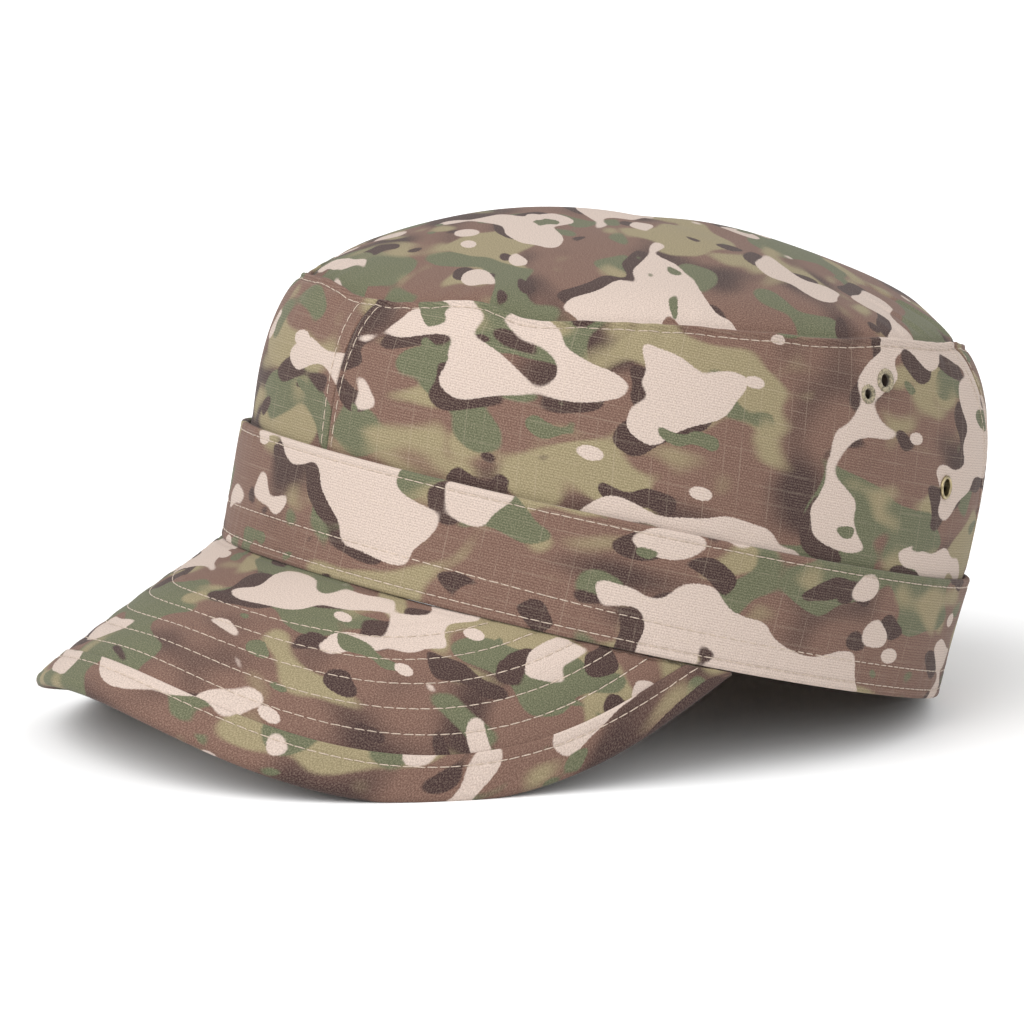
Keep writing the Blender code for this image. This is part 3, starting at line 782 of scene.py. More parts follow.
# %% [markdown]
# ## The oval top
# The top is one oval, cut a little larger than the seam it fills, so it rises as a shallow dome. Polar rows fit it
# best: they run along the seam, where the puckers are, and close at the crown's middle in a fan of triangles.

# %% Crown top
TOP_COLUMNS = 360
TOP_TUCK = 0.15
TOP_STARTS_AT = 1.008
TOP_FULLNESS = 1.8
TOP_FULL_AT = 9.0
CREASE_COLUMNS = ("rim_deg", "turn_deg", "reach", "depth")
CREASE_TABLE = (
    (128.0, 9.0, 36.0, 0.55),
    (114.0, 5.0, 30.0, 0.45),
    (-131.0, -8.0, 28.0, 0.50),
)
CREASE_TURNS_IN = 7.0
CREASES = [dict(zip(CREASE_COLUMNS, row)) for row in CREASE_TABLE]


def dome_relief(angle, rho):
    """Height over the plain dome: hollows, puckers and fullness x e^(1 - x) near the seam, the tuck, creases."""
    normal, _, _ = slopes(dome_surface, angle, rho)
    inwards = (1.0 - rho) * 80.0
    lift = soft_hollows(dome_surface(angle, rho), 23, 60.0, 0.5) * smooth(inwards / 12.0)
    lift += puckers(angle, 58, 9) * 0.14 * bell(inwards, 7.0) * smooth(inwards / 1.5)
    x = np.clip(inwards, 0.0, None) / TOP_FULL_AT
    lift += TOP_FULLNESS * x * np.exp(1.0 - x) - TOP_TUCK * bell(inwards, 0.8)
    for row in CREASES:
        turned = 1.0 - np.exp(-np.clip(inwards, 0.0, None) / CREASE_TURNS_IN)
        line = math.radians(row["rim_deg"]) + math.radians(row["turn_deg"]) * turned
        beside = wrapped(angle - line) * (80.0 - inwards)
        along = smooth(inwards / 4.0) * (1.0 - smooth(inwards / row["reach"]))
        lift += row["depth"] * (bell(beside - 2.2, 2.0) - bell(beside + 0.9, 1.7)) * along
    return lift, -normal


def make_crown_top(cut):
    """The oval: outer rows from the seam to the middle, inner rows back, and a fan at the middle of each face."""
    rho = TOP_STARTS_AT * (1.0 - stations(80.0, 1.0, 0.35, (0.0,), 6.0)[:-1] / 80.0)
    angle = np.linspace(-math.pi, math.pi, TOP_COLUMNS, endpoint=False)
    angle, rho = np.broadcast_arrays(angle[None, :], rho[:, None])
    relief, normal = dome_relief(angle, rho)
    outer = dome_surface(angle, rho) + normal * relief[..., None]
    inner = outer - normal * CLOTH_WALL
    meridian = np.concatenate((outer, np.broadcast_to(outer[-1:].mean(axis=1, keepdims=True), outer[-1:].shape)))
    walked = np.linalg.norm(np.diff(meridian, axis=0), axis=-1)[::-1].cumsum(axis=0)[::-1]
    place = np.stack((walked * np.sin(angle), -walked * np.cos(angle)), axis=-1)
    cloth = on_bolt(place[..., 0], place[..., 1], cut)
    return angle, outer, inner, cloth


def polar_cloth(name, outer, inner, cloth, materials):
    """A closed skin of two polar grids: quads between the rows, quads round the rim and fans at the middles."""
    rows, columns = outer.shape[:2]
    row, column = (index.ravel() for index in np.mgrid[:rows - 1, :columns])
    following = (column + 1) % columns
    face = np.stack((row * columns + column, (row + 1) * columns + column,
                     (row + 1) * columns + following, row * columns + following), axis=1)
    layer_size = rows * columns
    around = np.arange(columns)
    after = (around + 1) % columns
    rim = np.stack((around, after, after + layer_size, around + layer_size), axis=1)
    last = (rows - 1) * columns
    tops = np.array((2 * layer_size, 2 * layer_size + 1))
    fan = np.stack((after + last, around + last, np.full(columns, tops[0])), axis=1)
    fan_back = np.stack((around + last + layer_size, after + last + layer_size, np.full(columns, tops[1])), axis=1)
    quads = np.concatenate((face[:, ::-1], face + layer_size, rim[:, ::-1]))
    fans = np.concatenate((fan[:, ::-1], fan_back[:, ::-1]))
    middles = np.stack((outer[-1].mean(axis=0), inner[-1].mean(axis=0)))
    points = np.concatenate((outer.reshape(-1, 3), inner.reshape(-1, 3), middles))
    places = np.concatenate((cloth.reshape(-1, 2), cloth.reshape(-1, 2), cloth[-1].mean(axis=0)[None].repeat(2, axis=0)))
    mesh = bpy.data.meshes.new(name)
    mesh.from_pydata(lay_down(points).tolist(), [], quads.tolist() + fans.tolist())
    layer = mesh.uv_layers.new(name="cloth_mm")
    layer.data.foreach_set("uv", places[np.concatenate((quads.ravel(), fans.ravel()))].astype(np.float32).ravel())
    return finished_object(name, mesh, materials)


top_angle, top_outer, top_inner, top_cloth = make_crown_top((300.0, 120.0, 24.0))
crown_top = polar_cloth("crown_top_cloth", top_outer, top_inner, top_cloth, [fine_cloth])
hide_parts("crown_top")

# %% [markdown]
# ## The band
# The band is doubled cloth turned up outside the wall. Its edges are folds, so they are round, and its upper edge
# stands off the wall by its own thickness. Three rows of stitches hold it.

# %% Band
BAND_LOW_ROW = 2.4
BAND_MIDDLE_ROW = {"front": 10.0, "side": 7.6, "back": 6.5}
BAND_TOP_ROW_BELOW = 2.0
BAND_COLUMNS = 760
BAND_EDGE = BAND_WALL / 2.0


def band_height(angle):
    return blend_by_angle(HEIGHTS["band_top"], angle)


def band_relief(angle, up):
    """Height over the plain band at up millimetres: stitch rows, the fullness between them, hollows and puckers."""
    base = band_surface(angle, up / band_height(angle))
    rows = (BAND_LOW_ROW, blend_by_angle(BAND_MIDDLE_ROW, angle), band_height(angle) - BAND_TOP_ROW_BELOW)
    lift = soft_hollows(base, 31, 44.0, 0.30)
    for seed, row in enumerate(rows):
        lift -= STITCH_DEPTH * bell(up - row, STITCH_WIDTH)
        lift += puckers(angle, 84, 40 + seed) * 0.08 * bell(up - row, 3.0)
    return lift + 0.15


def band_face(angle, up, lift=0.0):
    """A point on the band's outer face, or above it by lift along its normal."""
    share = up / band_height(angle)
    normal, _, _ = slopes(band_surface, angle, share)
    return band_surface(angle, share) + normal * (band_relief(angle, up) + lift)[..., None]


def make_band(cut):
    """The ring of doubled cloth: up the outer face, over the rounded top edge, down inside and round below."""
    angle = np.linspace(-math.pi, math.pi, BAND_COLUMNS, endpoint=False)
    tall = band_height(angle)
    steps = stations(1.0, 1.0 / 40, 1.0 / 90, (0.07, 0.93), 0.05)
    turn = np.radians(np.linspace(0.0, 180.0, 7)[1:-1])[:, None]
    face_up = BAND_EDGE + (tall - 2.0 * BAND_EDGE) * steps[:, None]
    over_up = tall - BAND_EDGE + BAND_EDGE * np.sin(turn)
    inside_up = BAND_EDGE + (tall - 2.0 * BAND_EDGE) * np.linspace(1.0, 0.0, 9)[:, None]
    under_up = BAND_EDGE - BAND_EDGE * np.sin(turn)
    up = np.concatenate((face_up, over_up + 0.0 * tall, inside_up, under_up + 0.0 * tall))
    out = np.concatenate((np.zeros(len(steps)), BAND_EDGE * (np.cos(turn[:, 0]) - 1.0), np.full(9, -BAND_WALL),
                          BAND_EDGE * (-np.cos(turn[:, 0]) - 1.0)))[:, None]
    angle = np.broadcast_to(angle, up.shape)
    share = up / tall
    normal, _, _ = slopes(band_surface, angle, share)
    outward = smooth(1.0 + out / BAND_WALL)
    relief = band_relief(angle, np.clip(up, BAND_EDGE, tall - BAND_EDGE)) * outward
    grid = band_surface(angle, share) + normal * (out + relief)[..., None]
    around = np.interp(np.linspace(-math.pi, math.pi, BAND_COLUMNS + 1), *girth_table(band_surface, 0.5))
    around, high = np.broadcast_arrays(around[None, :], np.concatenate((up, up[:, :1]), axis=1) - out)
    piece = sewn_cloth("band_cloth", grid, on_bolt(around, high, cut), [ripstop_cloth], ring_closed=True)
    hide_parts("band")
    return piece


make_band((398.0, 30.0, 0.0))

# %% [markdown]
# ## The peak
# A patrol cap's peak is stiff card or plastic between two layers of cloth, quilted through with rows of stitches
# that run parallel to its edge. The rows are not parallel to the band, so the distance to the edge is worked out
# for every point of the peak, and the quilting follows that distance.

# %% Peak
PEAK_HALF_ANGLE_DEG = 79.7
PEAK_LENGTH = 63.4
PEAK_OUTLINE_POWER = 2.68
PEAK_TAPER_POWER = 1.1
PEAK_DIP_FRONT_DEG = 36.0
PEAK_DIP_GAIN_DEG = 60.0
PEAK_FLARE_SIDE = 0.32
PEAK_FLARE_FRONT = 0.36
PEAK_BELLY = 3.7
PEAK_WALL = 3.0
PEAK_ENDS_AT = 0.994
QUILT_FIRST = 16.5
QUILT_STEP = 6.28
QUILT_ROWS = 5
ROOT_TUCK = 1.3
LEDGE_RISE = 0.5
ROOT_CREASE = 0.30
FAR_WING_LIFT = 2.2
FAR_WING_AT_DEG = 34.0
FAR_WING_WIDTH_DEG = 13.0


def peak_length(angle):
    """Length of each ray: full at the front, running out as one less a power of the angle, to another power."""
    q = np.clip(np.abs(angle) / math.radians(PEAK_HALF_ANGLE_DEG), 0.0, 1.0)
    return PEAK_LENGTH * (1.0 - q ** PEAK_OUTLINE_POWER) ** PEAK_TAPER_POWER


def peak_ray(angle):
    """Unit direction of each ray: outwards, and dipping more steeply towards the sides."""
    dip = np.radians(PEAK_DIP_FRONT_DEG + PEAK_DIP_GAIN_DEG * np.sin(angle) ** 2)
    forward = PEAK_FLARE_FRONT * np.cos(angle) + 1.0 - PEAK_FLARE_FRONT
    level = unit(stacked(PEAK_FLARE_SIDE * np.sin(angle), -forward, 0.0))
    ray = level * np.cos(dip)[..., None]
    ray[..., 2] = -np.sin(dip)
    return ray


def peak_surface(angle, reach):
    """Upper face of the peak at a distance along each ray, with a slight belly between root and edge."""
    length = np.maximum(peak_length(angle), 0.01)
    share = reach / length
    belly = PEAK_BELLY * 4.0 * share * (1.0 - share) * length / PEAK_LENGTH
    under = np.maximum(-reach, 0.0)
    root = stacked(*ring("band_bottom", angle, under), LEDGE_RISE * smooth(under / ROOT_TUCK) - GAP)
    point = root + np.maximum(reach, 0.0)[..., None] * peak_ray(angle)
    pressed = FAR_WING_LIFT * bell(angle + math.radians(FAR_WING_AT_DEG), math.radians(FAR_WING_WIDTH_DEG))
    point[..., 2] += np.where((share >= 0.0) & (share <= 1.0), belly, 0.0) + pressed * np.clip(share, 0.0, 1.0) ** 2
    return point


def peak_point(angle, reach, lift):
    """A point above, or with a negative lift below, the peak's upper face, along its normal."""
    normal, _, _ = slopes(peak_surface, angle, reach, 0.0005, 0.01)
    return peak_surface(angle, reach) - normal * lift[..., None]


def peak_columns(count):
    """Angles whose points on the middle of the peak are evenly spaced."""
    angle = np.linspace(-1.0, 1.0, 2001) * math.radians(PEAK_HALF_ANGLE_DEG) * PEAK_ENDS_AT
    line = peak_surface(angle, peak_length(angle) * 0.7)
    walked = np.concatenate(([0.0], np.cumsum(np.linalg.norm(np.diff(line, axis=0), axis=-1))))
    return np.interp(np.linspace(0.0, walked[-1], count), walked, angle)


PEAK_EDGE = peak_surface(peak_columns(360), peak_length(peak_columns(360)))


def from_edge(angle, reach):
    """Shortest straight distance from each point of the peak to its outer edge, over points 1 mm apart."""
    points = peak_surface(angle, reach).reshape(-1, 3)
    squares = (points ** 2).sum(axis=1)[:, None] + (PEAK_EDGE ** 2).sum(axis=1) - 2.0 * points @ PEAK_EDGE.T
    return np.sqrt(np.maximum(squares.min(axis=1), 0.0)).reshape(np.shape(reach))


def quilt_relief(angle, reach):
    """Grooves at the quilting rows, fullness between them as a squared sine, hollows and short puckers."""
    distance = from_edge(angle, reach)
    phase = (distance - QUILT_FIRST) / QUILT_STEP
    nearest = np.clip(np.round(phase), 0, QUILT_ROWS - 1)
    on_row = bell((phase - nearest) * QUILT_STEP, STITCH_WIDTH)
    full = np.where((phase > -1.0) & (phase < QUILT_ROWS - 0.5), np.sin(math.pi * phase) ** 2, 0.0)
    lift = soft_hollows(peak_surface(angle, reach), 51, 40.0, 0.22) * smooth(peak_length(angle) / 20.0)
    lift += puckers(angle, 110, 52) * 0.06 * full
    return lift + 0.15 * full - 0.18 * on_row - ROOT_CREASE * bell(reach - 0.5, 0.7)


HEM_WIDTH = 10.0
HEM_PROUD = 0.50
HEM_THICK = 4.0
HEM_WALL = 0.9
HEM_STITCH = 7.3
HEM_TIP_LINE = 2.4


def edge_slant(angle):
    """Sine of the angle between each ray and the peak's edge: millimetres square to the edge for one of the ray."""
    edge = unit(slopes(lambda a, b: peak_surface(a, peak_length(a) + b), angle, 0.0 * angle)[1])
    return np.linalg.norm(np.cross(edge, peak_ray(angle)), axis=-1)


def hem_cover(angle):
    """How far the hem covers each ray: its width measured square to the edge, cut off where the band covers it."""
    return np.minimum(HEM_WIDTH / edge_slant(angle), peak_length(angle) + 0.2)


def thickness_share(angle):
    """The peak thins out towards its two ends, where it is sewn in under the band."""
    return 0.18 + 0.82 * smooth(peak_length(angle) / 16.0)


def peak_face(angle, reach, lift=0.0):
    return peak_point(angle, reach, quilt_relief(angle, reach) * thickness_share(angle) + lift)


def flat_peak(angle, reach):
    """Place on the flat cut of the peak: arc length along the root ring, and the reach below it, fanned out."""
    along = np.interp(angle, *girth_table(lambda a, s: peak_surface(a, peak_length(a) * s), 0.55))
    return along, -reach


def make_peak(cut):
    """Peak cloth: over the upper face from the root to under the hem, and back along the underside."""
    angle = peak_columns(PEAK_COLUMNS)
    length, covered = peak_length(angle), hem_cover(angle)
    open_end = length - covered
    face = np.linspace(0.0, 1.0, PEAK_FACE_ROWS)[:, None]
    tucked = open_end + np.array((0.25, 0.5, 0.8))[:, None] * covered
    reach = np.concatenate((-ROOT_TUCK + (open_end + ROOT_TUCK) * face, tucked))
    drop = np.concatenate((np.zeros(PEAK_FACE_ROWS), (1.0, 1.0, 1.0)))[:, None]
    angle = np.broadcast_to(angle, reach.shape)
    thin = thickness_share(angle)
    relief = quilt_relief(angle, reach) * thin * (1.0 - drop)
    upper = peak_point(angle, reach, relief - drop * 0.9 * thin)
    lower = peak_point(angle, reach, -(PEAK_WALL * thin - drop * 0.7 * thin) + relief * -0.6)
    grid = np.concatenate((upper[::-1], lower))
    along, down = flat_peak(angle, reach)
    cloth = on_bolt(along, down, cut)
    piece = sewn_cloth("peak_cloth", grid, np.concatenate((cloth[::-1], cloth)), [fine_cloth])
    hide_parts("peak")
    return piece


PEAK_COLUMNS = 400
PEAK_FACE_ROWS = 92
make_peak((420.0, 430.0, 12.0))

# %% [markdown]
# ## The hem of the peak
# A strip of the same cloth is folded round the edge of the peak and sewn through. Its section is a U with a round
# nose, and its own cut of the print breaks the pattern at its inner edge.


# %% Hem
def hem_relief(angle, square):
    """Grooves of the stitch row and of the line near the tip, and short puckers, by the distance to the edge."""
    grooves = STITCH_DEPTH * bell(square - HEM_STITCH, STITCH_WIDTH) + 0.12 * bell(square - HEM_TIP_LINE, 0.5)
    return puckers(angle, 150, 61) * 0.08 * bell(square - 5.0, 3.0) - grooves


def hem_face(angle, inward, lift=0.0):
    """A point on the hem's upper face, inward millimetres in from the edge, measured along the ray."""
    relief = HEM_PROUD + hem_relief(angle, inward * edge_slant(angle))
    return peak_point(angle, peak_length(angle) - inward, relief * thickness_share(angle) + lift)


def make_hem(cut):
    """The hem: its upper face from the fold to the nose, round the nose, and back along the underside."""
    angle = peak_columns(HEM_COLUMNS)
    length, covered = peak_length(angle), hem_cover(angle)
    thin = thickness_share(angle)
    nose = HEM_THICK / 2.0
    flat = 1.0 - stations(HEM_WIDTH - nose, 0.5, 0.28, (0.0, HEM_WIDTH - HEM_STITCH), 1.2) / HEM_WIDTH
    turn = np.radians(np.linspace(90.0, 0.0, 9)[1:])
    square = np.concatenate((flat * HEM_WIDTH, nose - nose * np.cos(turn)))
    height = np.concatenate((np.full(len(flat), nose), nose * np.sin(turn)))
    fold = np.clip((HEM_WIDTH - square) / 0.6, 0.0, 1.0)
    height = height - 0.55 * (1.0 - np.sqrt(1.0 - (1.0 - fold) ** 2))
    square, height = np.concatenate((square, square[-2::-1])), np.concatenate((height, -height[-2::-1]))
    inward = square[:, None] / HEM_WIDTH * covered
    middle = HEM_PROUD - nose
    relief = hem_relief(angle[None, :], inward * edge_slant(angle)) * np.sign(height)[:, None]
    lift = (middle + height[:, None] + relief) * thin
    inner_square = np.maximum(square, HEM_WALL + square * 0.9)
    inner_lift = (middle + height * (1.0 - HEM_WALL / nose))[:, None] * thin
    inner_inward = np.minimum(inner_square / HEM_WIDTH, 1.0)[:, None] * covered
    spread = np.broadcast_to(angle, lift.shape)
    outer = peak_point(spread, length - inward, lift)
    inner = peak_point(spread, length - inner_inward, inner_lift)
    grid = np.concatenate((outer, inner[::-1]))
    along = np.interp(angle, *girth_table(lambda a, s: peak_surface(a, peak_length(a) * s), 0.95))
    walked = np.concatenate(([0.0], np.cumsum(np.hypot(np.diff(square), np.diff(height)))))
    along, across = np.broadcast_arrays(along[None, :], walked[:, None])
    cloth = on_bolt(along, across, cut)
    piece = sewn_cloth("peak_hem_cloth", grid, np.concatenate((cloth, cloth[::-1])), [fine_cloth])
    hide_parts("peak_binding")
    return piece


HEM_COLUMNS = 420
make_hem((150.0, 640.0, 0.0))

# %% [markdown]
# ## The stitches
# The stitches are real pieces of thread: each is a short arch that comes up out of the cloth and goes down again.
# There are well over a thousand, so one small arch of a few dozen faces is turned and placed as whole arrays, and
# each seam's stitches are one joined mesh.

# %% One stitch and a row of them
STITCH_PITCH = 2.9
STITCH_LENGTH = 2.8
THREAD_RADIUS = 0.13
THREAD_LIFT = 0.06
STITCH_STATIONS = 6
STITCH_SIDES = 6


def stitch_template():
    """Points of one stitch: circles along an arch that starts and ends below the cloth and thins at its ends."""
    t = np.linspace(-1.0, 1.0, STITCH_STATIONS)
    around = np.linspace(0.0, 2.0 * math.pi, STITCH_SIDES, endpoint=False)
    rise = 0.20 * (1.0 - np.abs(t) ** 5) - 0.16
    radius = THREAD_RADIUS * (1.0 - 0.45 * np.abs(t) ** 4)
    along = np.broadcast_to((t * STITCH_LENGTH / 2.0)[:, None], (STITCH_STATIONS, STITCH_SIDES))
    across = radius[:, None] * np.cos(around) * 1.1
    up = rise[:, None] + radius[:, None] * np.sin(around)
    return stacked(along, across, up).reshape(-1, 3)


def stitch_faces():
    """Quads round the template, and its two end caps, as index arrays."""
    k, side = (index.ravel() for index in np.mgrid[:STITCH_STATIONS - 1, :STITCH_SIDES])
    following = (side + 1) % STITCH_SIDES
    quads = np.stack((k * STITCH_SIDES + side, k * STITCH_SIDES + following, (k + 1) * STITCH_SIDES + following,
                      (k + 1) * STITCH_SIDES + side), axis=1)
    ends = np.arange(STITCH_SIDES)
    return quads, np.stack((ends, ends[::-1] + (STITCH_STATIONS - 1) * STITCH_SIDES))


def along_row(points, normals, seed):
    """Frames of the stitches on a line of points: one every pitch, with a little seeded unevenness."""
    rng = np.random.default_rng(seed)
    walked = np.concatenate(([0.0], np.cumsum(np.linalg.norm(np.diff(points, axis=0), axis=-1))))
    count = max(int(walked[-1] / STITCH_PITCH), 1)
    at = (np.arange(count) + 0.5) * walked[-1] / count + rng.normal(0.0, 0.07, count)
    place, ahead = ([np.interp(at + step, walked, points[:, axis]) for axis in range(3)] for step in (0.0, 0.3))
    place, ahead = np.stack(place, axis=-1), np.stack(ahead, axis=-1)
    up = unit(np.stack([np.interp(at, walked, normals[:, axis]) for axis in range(3)], axis=-1))
    along = unit(ahead - place)
    along = unit(along + np.cross(up, along) * rng.normal(0.0, 0.03, (count, 1)))
    across = unit(np.cross(up, along))
    return place, np.stack((along, across, np.cross(along, across)), axis=1)


def make_stitches(name, rows, material):
    """Joins the stitches of some rows into one piece; rows holds (points, normals) on the cloth's face."""
    placed = [along_row(points, normals, seed) for seed, (points, normals) in enumerate(rows)]
    place, axes = (np.concatenate([part[i] for part in placed]) for i in (0, 1))
    template = stitch_template()
    points = place[:, None, :] + np.einsum("pk,nkd->npd", template, axes)
    quads, caps = stitch_faces()
    offset = (np.arange(len(place)) * len(template))[:, None, None]
    mesh = bpy.data.meshes.new(name)
    mesh.from_pydata(lay_down(points.reshape(-1, 3)).tolist(), [],
                     (quads + offset).reshape(-1, 4).tolist() + (caps + offset).reshape(-1, STITCH_SIDES).tolist())
    piece = finished_object(name, mesh, [material])
    print(name, "holds", len(place), "stitches")
    return piece


def thread_material(name, colour, darkest_ply_shade):
    """Spun thread: matt, slightly fuzzy, with painted light and shade of its twisted plies as fine random light and
    dark.
    """
    material = bpy.data.materials.new(name)
    material.use_nodes = True
    tree = material.node_tree
    where = add_node(tree, "TexCoord").outputs["Object"]
    # Painted light and shade of the plies: a fine noise makes the thread lighter and darker at random, standing in for
    # the light on its twisted plies and the shade between them.
    ply_light_and_shade = add_node(tree, "TexNoise", {"Vector": where, "Scale": 1.0 / (0.5 * MM), "Detail": 1.0})
    tone = add_node(tree, "MapRange", {"Value": ply_light_and_shade, "From Min": 0.3, "From Max": 0.7, "To Min": darkest_ply_shade,
                                       "To Max": 1.10})
    dyed_and_ply_shaded = add_node(tree, "Mix", {"Factor": 1.0, "A": linear(colour), "B": tone}, data_type="RGBA",
                    blend_type="MULTIPLY")
    wire(tree, tree.nodes["Principled BSDF"], {"Base Color": dyed_and_ply_shaded, "Roughness": 0.8, "Specular IOR Level": 0.2,
                                               "Sheen Weight": 0.2})
    return material


# Spun polyester thread, the pale tan of all the seams: dull, with a faint painted light and shade of its twist.
thread = thread_material("spun_polyester_thread", "thread", 0.70)
# Buttonhole thread, thicker and the dull green of the cloth, with strong painted light and shade on its plies.
buttonhole_thread = thread_material("buttonhole_twist", "buttonhole", 0.35)
quads, caps = stitch_faces()
print("faces in a stitch:", len(quads) + len(caps))


# %% Where the rows run
def face_row(surface, face, a, b):
    """Points on a cloth's face, just above its groove, and the plain surface's normals, for one row."""
    return face(a, b, THREAD_LIFT), slopes(surface, a, b)[0]


def wall_rows():
    """The topstitch row all round the wall, and two rows beside each seam."""
    turn = np.linspace(-math.pi, math.pi, 1401)
    below = blend_by_angle(TOPSTITCH_BELOW, turn)
    rows = [face_row(wall_surface, wall_face, turn, share_below(turn, below))]
    share = np.linspace(0.01, 0.90, 160)
    for row in SEAMS.values():
        line = seam_angle(row, share)
        per_radian = np.linalg.norm(slopes(wall_surface, line, share)[1], axis=-1)
        for side, name in ((-1.0, "before"), (1.0, "after")):
            rows.append(face_row(wall_surface, wall_face, line + side * between(row, name, share) / per_radian, share))
    return rows


def band_row(up):
    """A row all round the band at some height above its lower edge."""
    turn = np.linspace(-math.pi, math.pi, 1401)
    up = np.broadcast_to(up, turn.shape)
    normal, _, _ = slopes(band_surface, turn, up / band_height(turn))
    return band_face(turn, up, THREAD_LIFT), normal


def quilt_row(distance):
    """The line of the peak at one distance from its edge: on each ray the reach is read from the falling distance."""
    angle = peak_columns(700)
    open_end = peak_length(angle) - hem_cover(angle)
    reach = open_end * np.linspace(0.0, 1.0, 90)[:, None]
    field = from_edge(np.broadcast_to(angle, reach.shape), reach)
    crossing = (field[:-1] >= distance) & (field[1:] < distance)
    found = crossing.any(axis=0)
    missing = np.nonzero(~found)[0]
    middle = len(found) // 2
    found[:missing[missing < middle].max()] = False
    found[missing[missing > middle].min():] = False
    row, column = crossing.argmax(axis=0)[found], np.nonzero(found)[0]
    before, after = field[row, column], field[row + 1, column]
    share = (before - distance) / (before - after)
    at = reach[row, column] + share * (reach[row + 1, column] - reach[row, column])
    angle = angle[found]
    return peak_face(angle, at, THREAD_LIFT), -slopes(peak_surface, angle, at, 0.0005, 0.01)[0]


def hem_row(square):
    """The line of the hem at one distance from its edge, as far as the band leaves it open."""
    angle = peak_columns(900)
    inward = square / edge_slant(angle)
    seen = inward < hem_cover(angle) - 0.3
    angle, inward = angle[seen], inward[seen]
    normal = -slopes(peak_surface, angle, peak_length(angle) - inward, 0.0005, 0.01)[0]
    return hem_face(angle, inward, THREAD_LIFT), normal


make_stitches("wall_stitches", wall_rows(), thread)
turn = np.linspace(-math.pi, math.pi, 1401)
make_stitches("band_stitches", [band_row(BAND_LOW_ROW), band_row(blend_by_angle(BAND_MIDDLE_ROW, turn)),
                                band_row(band_height(turn) - BAND_TOP_ROW_BELOW)], thread)
make_stitches("quilting_stitches", [quilt_row(QUILT_FIRST + QUILT_STEP * k) for k in range(QUILT_ROWS)], thread)
make_stitches("hem_stitches", [hem_row(HEM_STITCH)], thread)

# %% [markdown]
# ## The eyelets
# Two small holes near the top of each side are bound with thread like round buttonholes, and a lower one holds a
# brass eyelet. The binding is a ring of thread wraps, each a small tube from the rim down into the hole.


# %% Eyelets
WRAP_RADIUS = 0.19
WRAP_RISE = 0.40
WRAP_DIVE = 0.45
WRAP_STATIONS = 11


def eyelet_axes(row, side):
    """Centre of an eyelet on the cloth, and its right, up and outward axes."""
    angle, share = np.array([side * math.radians(row["angle_deg"])]), np.array([row["share"]])
    normal, along, _ = slopes(wall_surface, angle, share)
    right = unit(along)[0]
    return wall_face(angle, share)[0], np.stack((right, np.cross(normal[0], right), normal[0]))


def tubes(paths, radius, sides):
    """Round tubes along many paths at once, each a row of points, with circles square to the path's own steps."""
    ahead = unit(np.gradient(paths, axis=1))
    up = np.broadcast_to(np.array((0.0, 0.0, 1.0)), ahead.shape)
    across = unit(np.cross(ahead, up + 1e-3))
    upward = np.cross(across, ahead)
    around = np.linspace(0.0, 2.0 * math.pi, sides, endpoint=False)[:, None]
    ring_points = np.cos(around) * across[:, :, None, :] + np.sin(around) * upward[:, :, None, :]
    return paths[:, :, None, :] + ring_points * radius


def make_stitched_eyelet(name, row, side, node):
    """Radial thread wraps: each runs from the outer rim over a low arch and down into the hole."""
    rng = np.random.default_rng(int(row["angle_deg"] * 10) + (side > 0))
    count = int(2.0 * math.pi * row["flange_radius"] / (WRAP_RADIUS * 2.1))
    phi = (np.arange(count) + rng.uniform(-0.2, 0.2, count)) / count * 2.0 * math.pi
    outer = row["flange_radius"] - WRAP_RADIUS + rng.normal(0.0, 0.05, count)
    bend = math.pi * np.linspace(0.0, 1.0, WRAP_STATIONS)
    middle = (outer + row["hole_radius"])[:, None] / 2.0
    half = (outer - row["hole_radius"])[:, None] / 2.0
    radius = middle + half * np.cos(bend)
    height = WRAP_RISE * np.sin(bend) ** 0.7 - 0.15 - WRAP_DIVE * smooth((bend - 2.7) / 0.45)
    spin = phi[:, None] + 0.03 * bend
    paths = stacked(radius * np.cos(spin), radius * np.sin(spin), height + 0.0 * radius)
    points = tubes(paths, WRAP_RADIUS, 6)
    n, k, s = points.shape[:3]
    strand, station, corner = (index.ravel() for index in np.mgrid[:n, :k - 1, :s])
    flat = (strand * k + station) * s
    following = (corner + 1) % s
    quads = np.stack((flat + corner, flat + s + corner, flat + s + following, flat + following), axis=1)
    first = (np.arange(n) * k * s)[:, None] + np.arange(s)
    caps = np.concatenate((first, first[:, ::-1] + (k - 1) * s))
    centre, axes = eyelet_axes(row, side)
    world = centre + points.reshape(-1, 3) @ axes
    mesh = bpy.data.meshes.new(name)
    mesh.from_pydata(lay_down(world).tolist(), [], quads.tolist() + caps.tolist())
    piece = finished_object(name, mesh, [buttonhole_thread])
    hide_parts(node)


